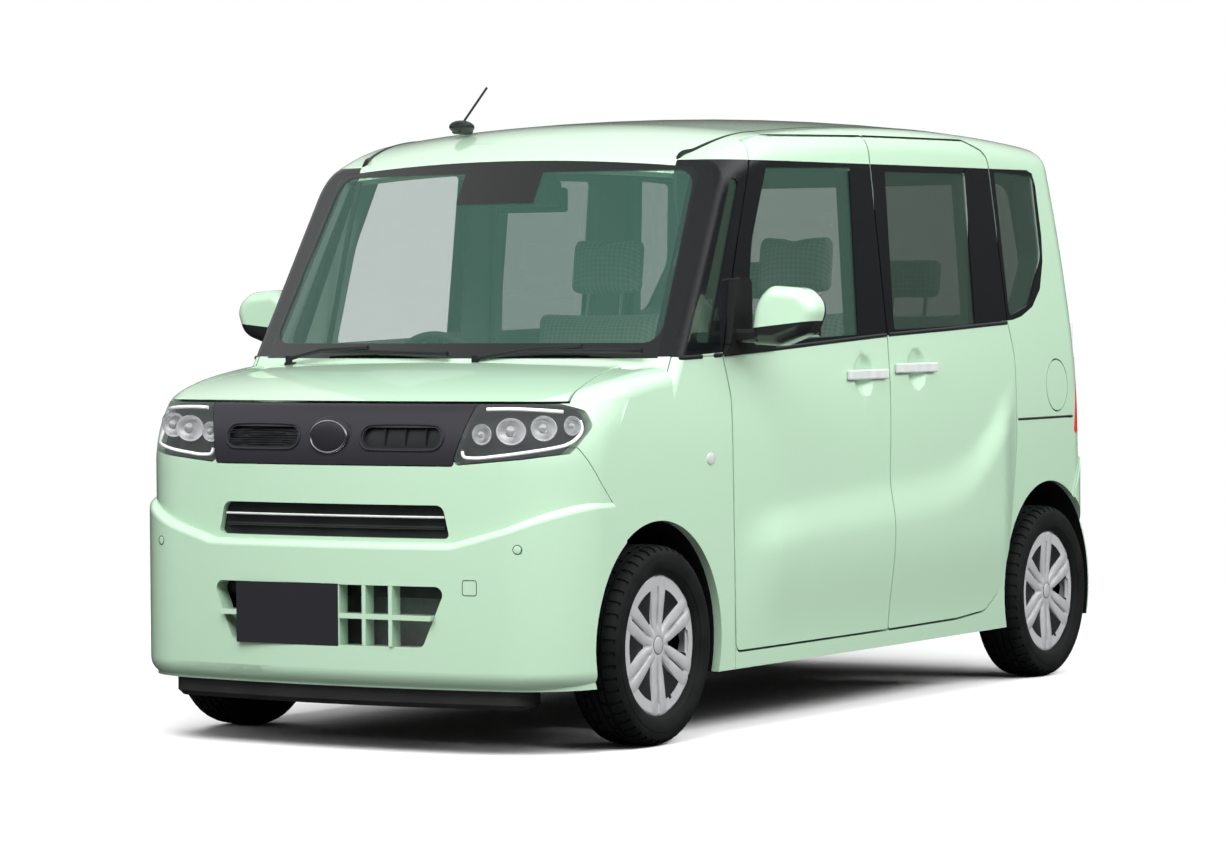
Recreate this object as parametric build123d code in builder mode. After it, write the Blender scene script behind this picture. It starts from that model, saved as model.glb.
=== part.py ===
"""A tall five-door kei wagon, right-hand drive, as separate pieces that meet as the real ones do.

Millimetres. The origin is on the ground under the middle of the car; the car faces -Y, its left
side is +X and +Z is up. Pieces on the left side are drawn first, and the right side mirrors them.
"""
import math
import os
from build123d import *

os.makedirs("parts", exist_ok=True)

# ---------------------------------------------------------------- driving dimensions
LENGTH = 3395.0
WIDTH = 1475.0
HEIGHT = 1755.0
WHEELBASE = 2460.0
TRACK = 1300.0
FRONT_AXLE_Y = -1137.5
REAR_AXLE_Y = FRONT_AXLE_Y + WHEELBASE
HALF_LENGTH = LENGTH / 2

TYRE_R = 272.0          # loaded radius of a 155/65R14
WHEEL_X = TRACK / 2

SKIN = 24.0             # outer panels ahead of the doors
DOOR_T = 48.0           # a whole door, from its paint to its trim
WALL_T = 72.0           # a whole side wall, pillar to trim
REBATE = 60.0           # depth of the step that a door shuts against
ROOF_T = 45.0
GLASS_T = 5.0
GLASS_IN = 5.0          # side glass sits this far inside the paint
SEAM = 3.0              # between fixed panels
GAP = 6.5               # round what opens

# ---------------------------------------------------------------- body surfaces
SIDE_X = WIDTH / 2 - 9.5    # widest paint, under the arch lips
SIDE_Y = 100.0          # where the side is widest in plan
SIDE_R = 60000.0        # plan radius of a side
SIDE_TOP_X = 662.8      # where the leaning upper side would reach SIDE_TOP_Z
SIDE_TOP_Z = 1800.0
BELT_X = 716.6
BELT_Z = 1085.0
SHOULDER_Z = 780.0
SILL_Z = 178.0
SIDE_SWEEP = 2.0        # degrees of plan arc each way

ROOF_R = 4500.0         # crown of the roof across the car
ROOF_SWEEP = 10.0
REAR_R = 3500.0         # plan radius of the tail
REAR_SWEEP = 13.5
NOSE_R = 3200.0         # plan radius of the nose
NOSE_SWEEP = 14.5
BONNET_R = 12000.0      # crown of the bonnet across the car
BONNET_SWEEP = 4.0
SCREEN_R = 3320.0       # windscreen, a bent sheet along its own slope
SCREEN_SWEEP = 14.0
SCREEN_FOOT = (0.0, -1110.0, 1035.0)
SCREEN_HEAD = (0.0, -760.0, 1600.0)

CORNER_REAR_R = 105.0
CORNER_NOSE_R = 225.0
ROOF_EDGE_R = 85.0
SCREEN_EDGE_R = 30.0
BONNET_EDGE_R = 55.0


def side_block(inset: float, low: float, high: float, front: float, rear: float) -> None:
    """The body between its two sides, each a section swept round a far upright axis."""
    axis_x = SIDE_X - SIDE_R
    turn = math.radians(-SIDE_SWEEP)
    start = Plane(origin=(axis_x, SIDE_Y, 0), x_dir=(math.cos(turn), math.sin(turn), 0),
                  z_dir=(math.sin(turn), -math.cos(turn), 0))
    reach = -axis_x - inset
    with BuildSketch(start) as section:
        with BuildLine():
            upright = Polyline((reach - 120, low), (reach + SIDE_X, low), (reach + SIDE_X, SHOULDER_Z))
            bend = TangentArc((reach + SIDE_X, SHOULDER_Z), (reach + BELT_X, BELT_Z), tangent=(0, 1))
            Polyline(bend @ 1, (reach + SIDE_TOP_X, SIDE_TOP_Z), (reach - 120, SIDE_TOP_Z), upright @ 0)
        make_face()
    revolve(section.sketch, axis=Axis((axis_x, SIDE_Y, 0), (0, 0, 1)), revolution_arc=2 * SIDE_SWEEP)
    mirror(about=Plane.YZ)
    with Locations((0, (front + rear) / 2, 0)):
        Box(4 * SIDE_X, rear - front, 2 * high, mode=Mode.INTERSECT)


def cut_roof(inset: float) -> None:
    """Take away what is above the roof, lowered by inset."""
    centre_z = HEIGHT - 1.0 - ROOF_R
    turn = math.radians(-ROOF_SWEEP)
    start = Plane(origin=(0, 0, centre_z), x_dir=(0, 1, 0),
                  z_dir=(math.cos(turn), 0, -math.sin(turn)))
    base = -centre_z - inset
    with BuildSketch(start) as section:
        with BuildLine():
            brow = Line((-1800, base + 1050), (-760, base + 1603))
            crown = TangentArc((-760, base + 1603), (-380, base + 1715), tangent=brow % 1)
            top = TangentArc(crown @ 1, (1350, base + 1726), tangent=crown % 1)
            tail = TangentArc(top @ 1, (1500, base + 1702), tangent=top % 1)
            Polyline(tail @ 1, (1900, base + 1600), (1900, base + 2200), (-1800, base + 2200), brow @ 0)
        make_face()
    revolve(section.sketch, axis=Axis((0, 0, centre_z), (0, 1, 0)), revolution_arc=2 * ROOF_SWEEP,
            mode=Mode.SUBTRACT)


def cut_end(line: list, radius: float, sweep: float, facing: int) -> None:
    """Take away what is beyond the tail (facing 1) or the nose (facing -1).

    line holds the edges of the middle section, each drawn as (how far out, height).
    """
    centre_y = facing * (HALF_LENGTH - radius)
    turn = math.radians(-sweep)
    start = Plane(origin=(0, centre_y, 0),
                  x_dir=(-facing * math.sin(turn), facing * math.cos(turn), 0),
                  z_dir=(facing * math.cos(turn), facing * math.sin(turn), 0))
    shift = radius - HALF_LENGTH
    with BuildSketch(start) as section:
        with BuildLine():
            for edge in line:
                add(Pos(shift, 0) * edge)
            low, high = line[0] @ 0, line[-1] @ 1
            Polyline((high.X + shift, high.Y), (radius + 700, high.Y), (radius + 700, low.Y),
                     (low.X + shift, low.Y))
        make_face()
    revolve(section.sketch, axis=Axis((0, centre_y, 0), (0, 0, 1)), revolution_arc=2 * sweep,
            mode=Mode.SUBTRACT)


def tail_line(inset: float) -> list:
    """Middle section of the tail: upright to the waist, then leaning in."""
    upright = Edge.make_line((1690 - inset, 100), (1690 - inset, 700))
    lean = Edge.make_tangent_arc((1690 - inset, 700), (0, 1), (1565 - inset, 1560))
    return [upright, lean, Edge.make_line(lean @ 1, (lean @ 1) + (lean % 1) * 300)]


def nose_line(inset: float) -> list:
    """Middle section of the face: upright, then rolling back to the bonnet."""
    upright = Edge.make_line((1672 - inset, 100), (1672 - inset, 760))
    roll = Edge.make_tangent_arc((1672 - inset, 760), (0, 1), (1492 - inset, 1050))
    return [upright, roll]


def cut_screen(inset: float) -> None:
    """Take away what is ahead of the windscreen."""
    run = Vector(*SCREEN_HEAD) - Vector(*SCREEN_FOOT)
    slope = run.normalized()
    out = Vector(0, -slope.Z, slope.Y)
    centre = Vector(*SCREEN_FOOT) - out * SCREEN_R
    turn = math.radians(-SCREEN_SWEEP)
    radial = out * math.cos(turn) + slope.cross(out) * math.sin(turn)
    start = Plane(origin=centre, x_dir=radial, z_dir=radial.cross(slope))
    with BuildSketch(start) as section:
        with BuildLine():
            Polyline((SCREEN_R - inset, -1300), (SCREEN_R + 900, -1300), (SCREEN_R + 900, 1100),
                     (SCREEN_R - inset, 1100), (SCREEN_R - inset, -1300))
        make_face()
    revolve(section.sketch, axis=Axis(centre, slope), revolution_arc=2 * SCREEN_SWEEP,
            mode=Mode.SUBTRACT)


def cut_bonnet(inset: float) -> None:
    """Take away what is above the bonnet."""
    centre_z = 1040.0 - BONNET_R
    turn = math.radians(-BONNET_SWEEP)
    start = Plane(origin=(0, 0, centre_z), x_dir=(0, 1, 0),
                  z_dir=(math.cos(turn), 0, -math.sin(turn)))
    base = -centre_z - inset
    with BuildSketch(start) as section:
        with BuildLine():
            rise = ThreePointArc((-1720, base + 895), (-1400, base + 988), (-1050, base + 1041))
            Polyline(rise @ 1, (-600, base + 1080), (-600, base + 1500), (-1720, base + 1500), rise @ 0)
        make_face()
    revolve(section.sketch, axis=Axis((0, 0, centre_z), (0, 1, 0)), revolution_arc=2 * BONNET_SWEEP,
            mode=Mode.SUBTRACT)


# ---------------------------------------------------------------- outlines: across, up, corner radius
FRONT_DOOR = [(-735, 226, 25), (-742, 560, 300), (-750, 930, 60), (-786, 1048, 20), (-693, 1290, 300),
              (-560, 1585, 200), (-500, 1666, 40), (164, 1682, 10), (203, 1100, 40), (203, 880, 300),
              (176, 226, 10)]
REAR_DOOR = [(176, 226, 10), (203, 880, 300), (203, 1100, 40), (164, 1682, 10), (850, 1690, 60),
             (978, 1652, 70), (990, 1570, 100), (1044, 1130, 80), (1081, 1020, 150), (1079, 760, 200),
             (1058, 620, 200), (1000, 430, 200), (945, 300, 120), (840, 240, 100), (640, 228, 100)]
FRONT_DOOR_LIGHT = [(-652, 1080, 14), (20, 1098, 14), (38, 1588, 14), (-466, 1576, 16), (-578, 1368, 300)]
REAR_DOOR_LIGHT = [(250, 1110, 14), (808, 1122, 14), (808, 1588, 14), (262, 1582, 14)]
REAR_QUARTER_LIGHT = [(1062, 1146, 20), (1215, 1180, 80), (1330, 1330, 70), (1306, 1590, 22),
                      (1022, 1600, 14)]
FRONT_QUARTER_LIGHT = [(-930, 1084, 12), (-855, 1084, 12), (-625, 1540, 16), (-672, 1540, 12)]
BONNET_PLAN = [(-655, -1552, 30), (-553, -1068, 14), (0, -1195, 2300), (553, -1068, 14), (655, -1552, 30),
               (640, -1760, 10), (-640, -1760, 10)]
HEADLAMP = [(381, 771, 14), (571, 788, 100), (700, 806, 60), (820, 840, 10), (820, 930, 10),
            (427, 930, 12)]
HEADLAMP_TIP = [(-1800, 700, 5), (-1640, 700, 5), (-1452, 872, 14), (-1462, 909, 14), (-1552, 940, 60),
                (-1800, 950, 5)]
GRILLE_BAND = [(-380, 769, 6), (380, 769, 6), (425, 930, 6), (-425, 930, 6)]
PILL = [(108, 815, 24), (343, 815, 24), (338, 868, 24), (104, 868, 24)]
UPPER_INTAKE = [(-372, 576, 12), (372, 576, 12), (352, 664, 26), (-352, 664, 26)]
LOWER_INTAKE = [(-306, 290, 20), (306, 290, 20), (376, 451, 22), (-376, 451, 22)]
SHOULDER_CUT = [(-900, 700, 5), (-735, 690, 5), (-530, 606, 160), (-385, 566, 120), (385, 566, 120),
                (530, 606, 160), (735, 690, 5), (900, 700, 5), (900, 1000, 5), (-900, 1000, 5)]
BUMPER_EDGE = [(-1800, 120, 5), (-1318, 120, 5), (-1318, 605, 5), (-1431, 715, 80), (-1512, 818, 30),
               (-1800, 860, 5)]
REAR_BUMPER_EDGE = [(1500, 120, 5), (1800, 120, 5), (1800, 700, 5), (1596, 692, 20), (1528, 592, 60),
                    (1500, 480, 5)]
TAILGATE = [(-512, 470, 40), (512, 470, 40), (560, 700, 60), (592, 1100, 80), (560, 1650, 60),
            (540, 1712, 20), (-540, 1712, 20), (-560, 1650, 60), (-592, 1100, 80), (-560, 700, 60)]
TAILGATE_LIGHT = [(-520, 1120, 40), (520, 1120, 40), (492, 1575, 50), (-492, 1575, 50)]
TAIL_LAMP_SIDE = [(1525, 771, 12), (1800, 771, 10), (1800, 1200, 10), (1589, 1192, 12)]
TAIL_LAMP_REAR = [(603, 771, 12), (800, 771, 5), (800, 1192, 5), (622, 1192, 12)]

LID_Y, LID_Z, LID_R = 1396.0, 925.0, 80.0       # fuel lid, left side
LID_GAP, LID_T, CAP_R = 5.5, 12.0, 34.0
FRONT_ARCH = (-1143.0, 280.0, 328.0)    # rearward, up, radius of the wheel openings
REAR_ARCH = (1325.0, 280.0, 343.0)


def loop(rows: list) -> None:
    """A closed outline from rows of (across, up, corner radius)."""
    FilletPolyline(*[(u, v) for u, v, r in rows], radius=[r for u, v, r in rows], close=True)


def bar(plane: Plane, rows: list, near: float, far: float, grow: float = 0.0) -> Part:
    """A bar whose section is an outline, from near to far along the plane's normal."""
    with BuildPart() as solid:
        with BuildSketch(plane.offset(near)):
            with BuildLine():
                loop(rows)
            make_face()
            if grow:
                offset(amount=grow, kind=Kind.INTERSECTION)
        extrude(amount=far - near)
    return solid.part


def rod(start: tuple, end: tuple, radius: float) -> Part:
    """A round bar between two points."""
    line = Edge.make_line(start, end)
    with BuildPart() as solid:
        with BuildSketch(Plane(origin=line @ 0, z_dir=line % 0)):
            Circle(radius)
        extrude(amount=line.length)
    return solid.part


def block(low: tuple, high: tuple, round_off: float = 0.0) -> Part:
    """A block between two corners, its upright or all edges rounded."""
    with BuildPart() as solid:
        with Locations([((low[0] + high[0]) / 2, (low[1] + high[1]) / 2, (low[2] + high[2]) / 2)]):
            Box(high[0] - low[0], high[1] - low[1], high[2] - low[2])
        if round_off:
            fillet(solid.edges(), round_off)
    return solid.part


def both(solid: Part) -> Part:
    """A left piece with its twin on the right."""
    return solid + solid.mirror(Plane.YZ)


def write(part: Part, name: str) -> None:
    """Label a finished piece and write it."""
    part.label = name
    export_step(part, f"parts/{name}.step")


FROM_LEFT = Plane.YZ                    # across is rearwards, up is up
FROM_FRONT = Plane(origin=(0, 0, 0), x_dir=(1, 0, 0), z_dir=(0, -1, 0))
FROM_ABOVE = Plane.XY


# ---------------------------------------------------------------- whole blocks that panels come from
def cabin_solid() -> Part:
    """The car from the windscreen back, outside."""
    with BuildPart() as block:
        side_block(0, SILL_Z, SIDE_TOP_Z, -1740, 1760)
        cut_end(tail_line(0), REAR_R, REAR_SWEEP, 1)
        fillet(block.edges().filter_by(lambda e: e.center().Y > 1450 and abs(e.center().X) > 600
                                       and abs((e @ 0).Z - (e @ 1).Z) > 30), CORNER_REAR_R)
        cut_roof(0)
        roof = block.faces().filter_by(lambda f: f.center().Z > 1600 and f.normal_at().Z > 0.8)
        rims = [e for f in roof for e in f.edges()]
        fillet([e for e in rims if sum(e.is_same(o) for o in rims) == 1 and e.center().Y > -1200],
               ROOF_EDGE_R)
        cut_screen(0)
        screen = block.faces().filter_by(lambda f: f.normal_at().Y < -0.7).sort_by(Face.area)[-1]
        fillet(screen.edges().filter_by(lambda e: e.center().Z > 300), SCREEN_EDGE_R)
    return block.part


def nose_solid(inset: float) -> Part:
    """The car ahead of the doors up to the bonnet, outside or inset."""
    with BuildPart() as block:
        side_block(inset, SILL_Z, 1045, -1740, -735)
        cut_end(nose_line(inset), NOSE_R, NOSE_SWEEP, -1)
        fillet(block.edges().filter_by(lambda e: e.center().Y < -1400 and abs(e.center().X) > 500
                                       and abs((e @ 0).Z - (e @ 1).Z) > 30), CORNER_NOSE_R - inset)
        cut_bonnet(inset)
        bonnet = block.faces().filter_by(lambda f: f.normal_at().Z > 0.8).sort_by(Face.area)[-1]
        if inset < BONNET_EDGE_R:
            fillet(bonnet.edges().filter_by(lambda e: e.center().Y < -760), BONNET_EDGE_R - inset)
    return block.part


def lower_bumper(proud: float) -> Part:
    """The bumper below its shoulder, which stands proud of the face and climbs to the arches."""
    with BuildPart() as block:
        side_block(-proud, SILL_Z, 760, -1740, -1200)
        face = HALF_LENGTH
        cut_end([Edge.make_line((face, 100), (face, 900))], NOSE_R, NOSE_SWEEP, -1)
        fillet(block.edges().filter_by(Axis.Z, tolerance=5)
               .filter_by(lambda e: e.center().Y < -1400 and abs(e.center().X) > 600), CORNER_NOSE_R)
        add(bar(FROM_FRONT, SHOULDER_CUT, 1100, 1800), mode=Mode.SUBTRACT)
        top = block.faces().filter_by(lambda f: f.normal_at().Z > 0.3)
        rims = [e for f in top for e in f.edges()]
        fillet([e for e in rims if sum(e.is_same(o) for o in rims) == 1 and e.center().Y < -1201], 20)
        bottom = block.faces().sort_by(Axis.Z)[0]
        fillet(bottom.edges().filter_by(lambda e: e.center().Y < -1201), 48)
    return block.part


def rear_bumper_solid(inset: float) -> Part:
    """The rear bumper's own block."""
    with BuildPart() as block:
        side_block(inset - 6, SILL_Z, 700, 1440, 1760)
        face = HALF_LENGTH - inset
        cut_end([Edge.make_line((face, 100), (face, 900))], REAR_R, REAR_SWEEP, 1)
        fillet(block.edges().filter_by(Axis.Z, tolerance=5)
               .filter_by(lambda e: e.center().Y > 1500 and abs(e.center().X) > 550),
               CORNER_REAR_R - inset)
        if not inset:
            for level, radius in ((-1, 16), (0, 48)):
                rim = block.faces().sort_by(Axis.Z)[level]
                fillet(rim.edges().filter_by(lambda e: e.center().Y > 1441), radius)
    return block.part


def side_core(inset: float) -> Part:
    """What lies further in than inset from either side."""
    with BuildPart() as block:
        side_block(inset, 100, SIDE_TOP_Z + 60, -1800, 1800)
    return block.part


def arch_bar(arch: tuple, near: float, far: float, grow: float = 0.0) -> Part:
    """A round bar through a wheel opening on both sides."""
    with BuildPart() as solid:
        with BuildSketch(FROM_LEFT.offset(near)):
            with Locations((arch[0], arch[1])):
                Circle(arch[2] + grow)
        extrude(amount=far - near)
        mirror(about=Plane.YZ)
    return solid.part


cabin_block = cabin_solid()
core_skin = side_core(SKIN)
core_door = side_core(DOOR_T)
core_rebate = side_core(REBATE)
front_wells = arch_bar(FRONT_ARCH, 415, 800)
rear_wells = arch_bar(REAR_ARCH, 520, 800)

with BuildPart() as cabin_void:
    side_block(WALL_T, 100, SIDE_TOP_Z, -1010, 1700)
    cut_roof(ROOF_T)
    cut_end(tail_line(62), REAR_R, REAR_SWEEP, 1)
    cut_screen(30)

nose_core = nose_solid(SKIN)
front_skin = nose_solid(0) - nose_core
lamp_skin = nose_solid(0) - nose_solid(60)
wells = front_wells + rear_wells
bonnet_bar = bar(FROM_ABOVE, BONNET_PLAN, 936.5, 1100)
bonnet_gap = bar(FROM_ABOVE, BONNET_PLAN, 930.5, 1100, GAP)
bonnet_lamp_gap = both(bar(FROM_FRONT, HEADLAMP, 1300, 1800, GAP)
                       & bar(FROM_LEFT, HEADLAMP_TIP, 300, 860, GAP))
lamp_bar = both(bar(FROM_FRONT, HEADLAMP, 1300, 1800) & bar(FROM_LEFT, HEADLAMP_TIP, 300, 860))
lamp_gap = both(bar(FROM_FRONT, HEADLAMP, 1300, 1800, SEAM)
                & bar(FROM_LEFT, HEADLAMP_TIP, 300, 860, SEAM))
band_bar = bar(FROM_FRONT, GRILLE_BAND, 1300, 1800)
band_gap = bar(FROM_FRONT, GRILLE_BAND, 1300, 1800, SEAM)
bumper_bar = bar(FROM_LEFT, BUMPER_EDGE, -800, 800)
bumper_gap = bar(FROM_LEFT, BUMPER_EDGE, -800, 800, SEAM)
rear_bumper_bar = bar(FROM_LEFT, REAR_BUMPER_EDGE, -800, 800)
rear_bumper_gap = bar(FROM_LEFT, REAR_BUMPER_EDGE, -800, 800, SEAM)
tail_lamp_bar = both(bar(FROM_LEFT, TAIL_LAMP_SIDE, 590, 800) & bar(FROM_FRONT, TAIL_LAMP_REAR, -1800, -1500))
tail_lamp_gap = both(bar(FROM_LEFT, TAIL_LAMP_SIDE, 590, 800, 2)
                     & bar(FROM_FRONT, TAIL_LAMP_REAR, -1800, -1500, 2))
# ---------------------------------------------------------------- panels of the front
with BuildPart() as bonnet:
    add(front_skin)
    add(bonnet_bar, mode=Mode.INTERSECT)
    add(bonnet_lamp_gap, mode=Mode.SUBTRACT)
    add(block((-556, -1104, 990), (-514, -1040, 1060)), mode=Mode.SUBTRACT)     # room for the wiper's spindle
write(bonnet.part, "bonnet")

with BuildPart() as fender_rear:
    add(cabin_block)
    with Locations((0, -911, 611)):
        Box(2 * SIDE_X, 338, 870, mode=Mode.INTERSECT)
    add(core_skin, mode=Mode.SUBTRACT)
    add(bar(FROM_LEFT, FRONT_DOOR, -800, 800, GAP / 2), mode=Mode.SUBTRACT)

with BuildPart() as fenders:
    add(front_skin)
    with Locations((0, -1315, 611)):
        Box(2 * SIDE_X, 510, 870, mode=Mode.INTERSECT)
    add(bonnet_gap, mode=Mode.SUBTRACT)
    add(block((-640, -1145, 900), (640, -700, 1100)), mode=Mode.SUBTRACT)   # the shell's cowl
    add(block((-445, -1590, 896), (445, -1470, 932)), mode=Mode.SUBTRACT)       # the grille panel's own top
    add(fender_rear.part)
    add(front_wells, mode=Mode.SUBTRACT)
    add(bumper_gap, mode=Mode.SUBTRACT)
    add(lamp_gap, mode=Mode.SUBTRACT)
write(fenders.part, "fenders")

with BuildPart() as front_bumper:
    add(front_skin)
    with Locations((0, -1500, 470)):
        Box(2 * SIDE_X, 600, 730, mode=Mode.INTERSECT)
    add(lower_bumper(6))
    add(nose_core, mode=Mode.SUBTRACT)
    add(bumper_bar, mode=Mode.INTERSECT)
    add(lamp_gap, mode=Mode.SUBTRACT)
    add(band_gap, mode=Mode.SUBTRACT)
    add(wells, mode=Mode.SUBTRACT)
    add(bar(FROM_FRONT, UPPER_INTAKE, 1400, 1800), mode=Mode.SUBTRACT)
    add(bar(FROM_FRONT, LOWER_INTAKE, 1400, 1800), mode=Mode.SUBTRACT)
    add(block((-285, -1700, 286), (47, -1694, 453)), mode=Mode.SUBTRACT)        # seat of the number plate
write(front_bumper.part, "front_bumper")

with BuildPart() as headlamps:
    add(lamp_skin)
    add(lamp_bar, mode=Mode.INTERSECT)
write(headlamps.part, "headlamps")

with BuildPart() as grille_panel:
    add(front_skin)
    add(band_bar, mode=Mode.INTERSECT)
    add(lamp_gap, mode=Mode.SUBTRACT)
    add(both(bar(FROM_FRONT, PILL, 1400, 1800)), mode=Mode.SUBTRACT)
write(grille_panel.part, "grille_panel")

# ---------------------------------------------------------------- doors and glass
front_door_bar = bar(FROM_LEFT, FRONT_DOOR, 300, 800, -GAP / 2)
rear_door_bar = bar(FROM_LEFT, REAR_DOOR, 300, 800, -GAP / 2)
front_light = bar(FROM_LEFT, FRONT_DOOR_LIGHT, 300, 800)
rear_light = bar(FROM_LEFT, REAR_DOOR_LIGHT, 300, 800)
quarter_lights = bar(FROM_LEFT, REAR_QUARTER_LIGHT, 300, 800) + bar(FROM_LEFT, FRONT_QUARTER_LIGHT, 300, 800)
glass_sheet = side_core(GLASS_IN) - side_core(GLASS_IN + GLASS_T)
BOWL_R = 94.7                            # the finger bowls behind the door handles
FRONT_BOWL, REAR_BOWL = (793.7, 40, 984), (792.2, 385, 996)

with BuildPart() as door_front_left:
    add(cabin_block)
    add(front_door_bar, mode=Mode.INTERSECT)
    add(core_door, mode=Mode.SUBTRACT)
    add(front_light, mode=Mode.SUBTRACT)
    with Locations(FRONT_BOWL):
        Sphere(BOWL_R, mode=Mode.SUBTRACT)
write(door_front_left.part, "door_front_left")

with BuildPart() as door_front_right:
    add(door_front_left.part.mirror(Plane.YZ))
write(door_front_right.part, "door_front_right")

with BuildPart() as sliding_doors:
    add(cabin_block)
    add(rear_door_bar, mode=Mode.INTERSECT)
    add(core_door, mode=Mode.SUBTRACT)
    add(rear_light, mode=Mode.SUBTRACT)
    with Locations(REAR_BOWL):
        Sphere(BOWL_R, mode=Mode.SUBTRACT)
    mirror(about=Plane.YZ)
write(sliding_doors.part, "sliding_doors")

with BuildPart() as front_door_glass_left:
    add(glass_sheet)
    add(front_light, mode=Mode.INTERSECT)
write(front_door_glass_left.part, "front_door_glass_left")

with BuildPart() as front_door_glass_right:
    add(front_door_glass_left.part.mirror(Plane.YZ))
write(front_door_glass_right.part, "front_door_glass_right")

with BuildPart() as sliding_door_glass:
    add(glass_sheet)
    add(rear_light, mode=Mode.INTERSECT)
    mirror(about=Plane.YZ)
write(sliding_door_glass.part, "sliding_door_glass")

with BuildPart() as quarter_glass:
    add(glass_sheet)
    add(quarter_lights, mode=Mode.INTERSECT)
    mirror(about=Plane.YZ)
write(quarter_glass.part, "quarter_glass")

SCREEN_RUN = (Vector(*SCREEN_HEAD) - Vector(*SCREEN_FOOT)).normalized()
SCREEN_OUT = Vector(0, -SCREEN_RUN.Z, SCREEN_RUN.Y)
SCREEN_PLANE = Plane(origin=SCREEN_FOOT, x_dir=(1, 0, 0), z_dir=SCREEN_OUT)
SCREEN_SHAPE = [(-654, -40, 5), (654, -40, 5), (601, 664, 36), (-601, 664, 36)]
SCREEN_LOW_Z = 1043.0


def screen_sheet(inset: float) -> Part:
    """What lies behind the windscreen's face, set back by inset."""
    with BuildPart() as block:
        side_block(0, 600, SIDE_TOP_Z, -1300, -400)
        cut_screen(inset)
    return block.part


above_cowl = Pos(0, 0, SCREEN_LOW_Z + 500) * Box(2000, 4000, 1000)
screen_bar = bar(SCREEN_PLANE, SCREEN_SHAPE, -400, 200) & above_cowl
screen_flange = bar(SCREEN_PLANE, SCREEN_SHAPE, -400, 200, -24) & (Pos(0, 0, 24) * above_cowl)
behind_glass = screen_sheet(GLASS_T)
with BuildPart() as windscreen:
    add(screen_sheet(0.5))
    add(screen_bar, mode=Mode.INTERSECT)
    add(behind_glass, mode=Mode.SUBTRACT)
write(windscreen.part, "windscreen")

# ---------------------------------------------------------------- the shell
rebate_front = bar(FROM_LEFT, FRONT_DOOR, 300, 800, GAP / 2) - core_rebate
rebate_rear = bar(FROM_LEFT, REAR_DOOR, 300, 800, GAP / 2) - core_rebate
with BuildPart() as openings:
    add(rebate_front)
    add(rebate_rear)
    add(bar(FROM_LEFT, FRONT_DOOR, 300, 800, -22))
    add(bar(FROM_LEFT, REAR_DOOR, 300, 800, -22))
    add(quarter_lights)
    mirror(about=Plane.YZ)

PLATE_FLOOR_Y, PLATE_HOLES, PLATE_HOLE_Z = 1672.0, 210.0, 712.0     # rear plate recess and screw holes
PLATE_HOLE_R, PLATE_HOLE_L = 3.3, 16.0
with BuildPart() as tail_core:
    side_block(0, 100, SIDE_TOP_Z, -1000, 1760)
    cut_roof(34)
    cut_end(tail_line(44), REAR_R, REAR_SWEEP, 1)

with BuildPart() as tailgate:
    add(cabin_block)
    add(bar(FROM_FRONT, TAILGATE, -1800, -1440, -GAP / 2), mode=Mode.INTERSECT)
    add(tail_core.part, mode=Mode.SUBTRACT)
    add(bar(FROM_FRONT, TAILGATE_LIGHT, -1800, -1400), mode=Mode.SUBTRACT)
    add(block((-190, PLATE_FLOOR_Y, 556), (190, 1760, 742)), mode=Mode.SUBTRACT)
    for across in (-PLATE_HOLES / 2, PLATE_HOLES / 2):
        add(rod((across, PLATE_FLOOR_Y + 5, PLATE_HOLE_Z),
                (across, PLATE_FLOOR_Y - PLATE_HOLE_L, PLATE_HOLE_Z), PLATE_HOLE_R), mode=Mode.SUBTRACT)
write(tailgate.part, "tailgate")

with BuildPart() as tail_behind_glass:
    side_block(0, 600, SIDE_TOP_Z, 1200, 1760)
    cut_end(tail_line(GLASS_IN + GLASS_T), REAR_R, REAR_SWEEP, 1)

with BuildPart() as tailgate_glass:
    side_block(0, 600, SIDE_TOP_Z, 1300, 1760)
    cut_end(tail_line(GLASS_IN), REAR_R, REAR_SWEEP, 1)
    add(bar(FROM_FRONT, TAILGATE_LIGHT, -1800, -1400), mode=Mode.INTERSECT)
    add(tail_behind_glass.part, mode=Mode.SUBTRACT)
write(tailgate_glass.part, "tailgate_glass")

rear_bumper_core = rear_bumper_solid(27)
fender_room = block((-800, -1062, 132), (800, -739, 1048)) - side_core(SKIN + 4)
with BuildPart() as body_shell:
    add(cabin_block)
    add(cabin_void.part, mode=Mode.SUBTRACT)
    with Locations((0, -1400, 500)):
        Box(1600, 720, 970, mode=Mode.SUBTRACT)                      # all that is ahead of the firewall
    with Locations((0, -300, 200)):
        Box(1180, 2900, 240, mode=Mode.SUBTRACT)                     # under the floor
    add(openings.part, mode=Mode.SUBTRACT)
    add(bar(FROM_FRONT, TAILGATE, -1800, -1400, GAP / 2) - tail_core.part.moved(Pos(0, -12, -8)),
        mode=Mode.SUBTRACT)
    add(bar(FROM_FRONT, TAILGATE, -1800, -1400, -20), mode=Mode.SUBTRACT)
    add(rear_bumper_gap - rear_bumper_core, mode=Mode.SUBTRACT)
    add(tail_lamp_gap - side_core(30).moved(Pos(0, -60, 0)), mode=Mode.SUBTRACT)
    add(screen_bar - behind_glass, mode=Mode.SUBTRACT)
    add(screen_flange, mode=Mode.SUBTRACT)
    add(wells, mode=Mode.SUBTRACT)
    add(fender_room, mode=Mode.SUBTRACT)
    add(bonnet_gap, mode=Mode.SUBTRACT)
    add(rod((SIDE_X + 20, LID_Y, LID_Z), (SIDE_X - 62, LID_Y, LID_Z), LID_R + LID_GAP), mode=Mode.SUBTRACT)
    add(rod((SIDE_X - 64, LID_Y, LID_Z), (SIDE_X - 34, LID_Y, LID_Z), CAP_R))
write(body_shell.part, "body_shell")

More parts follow.
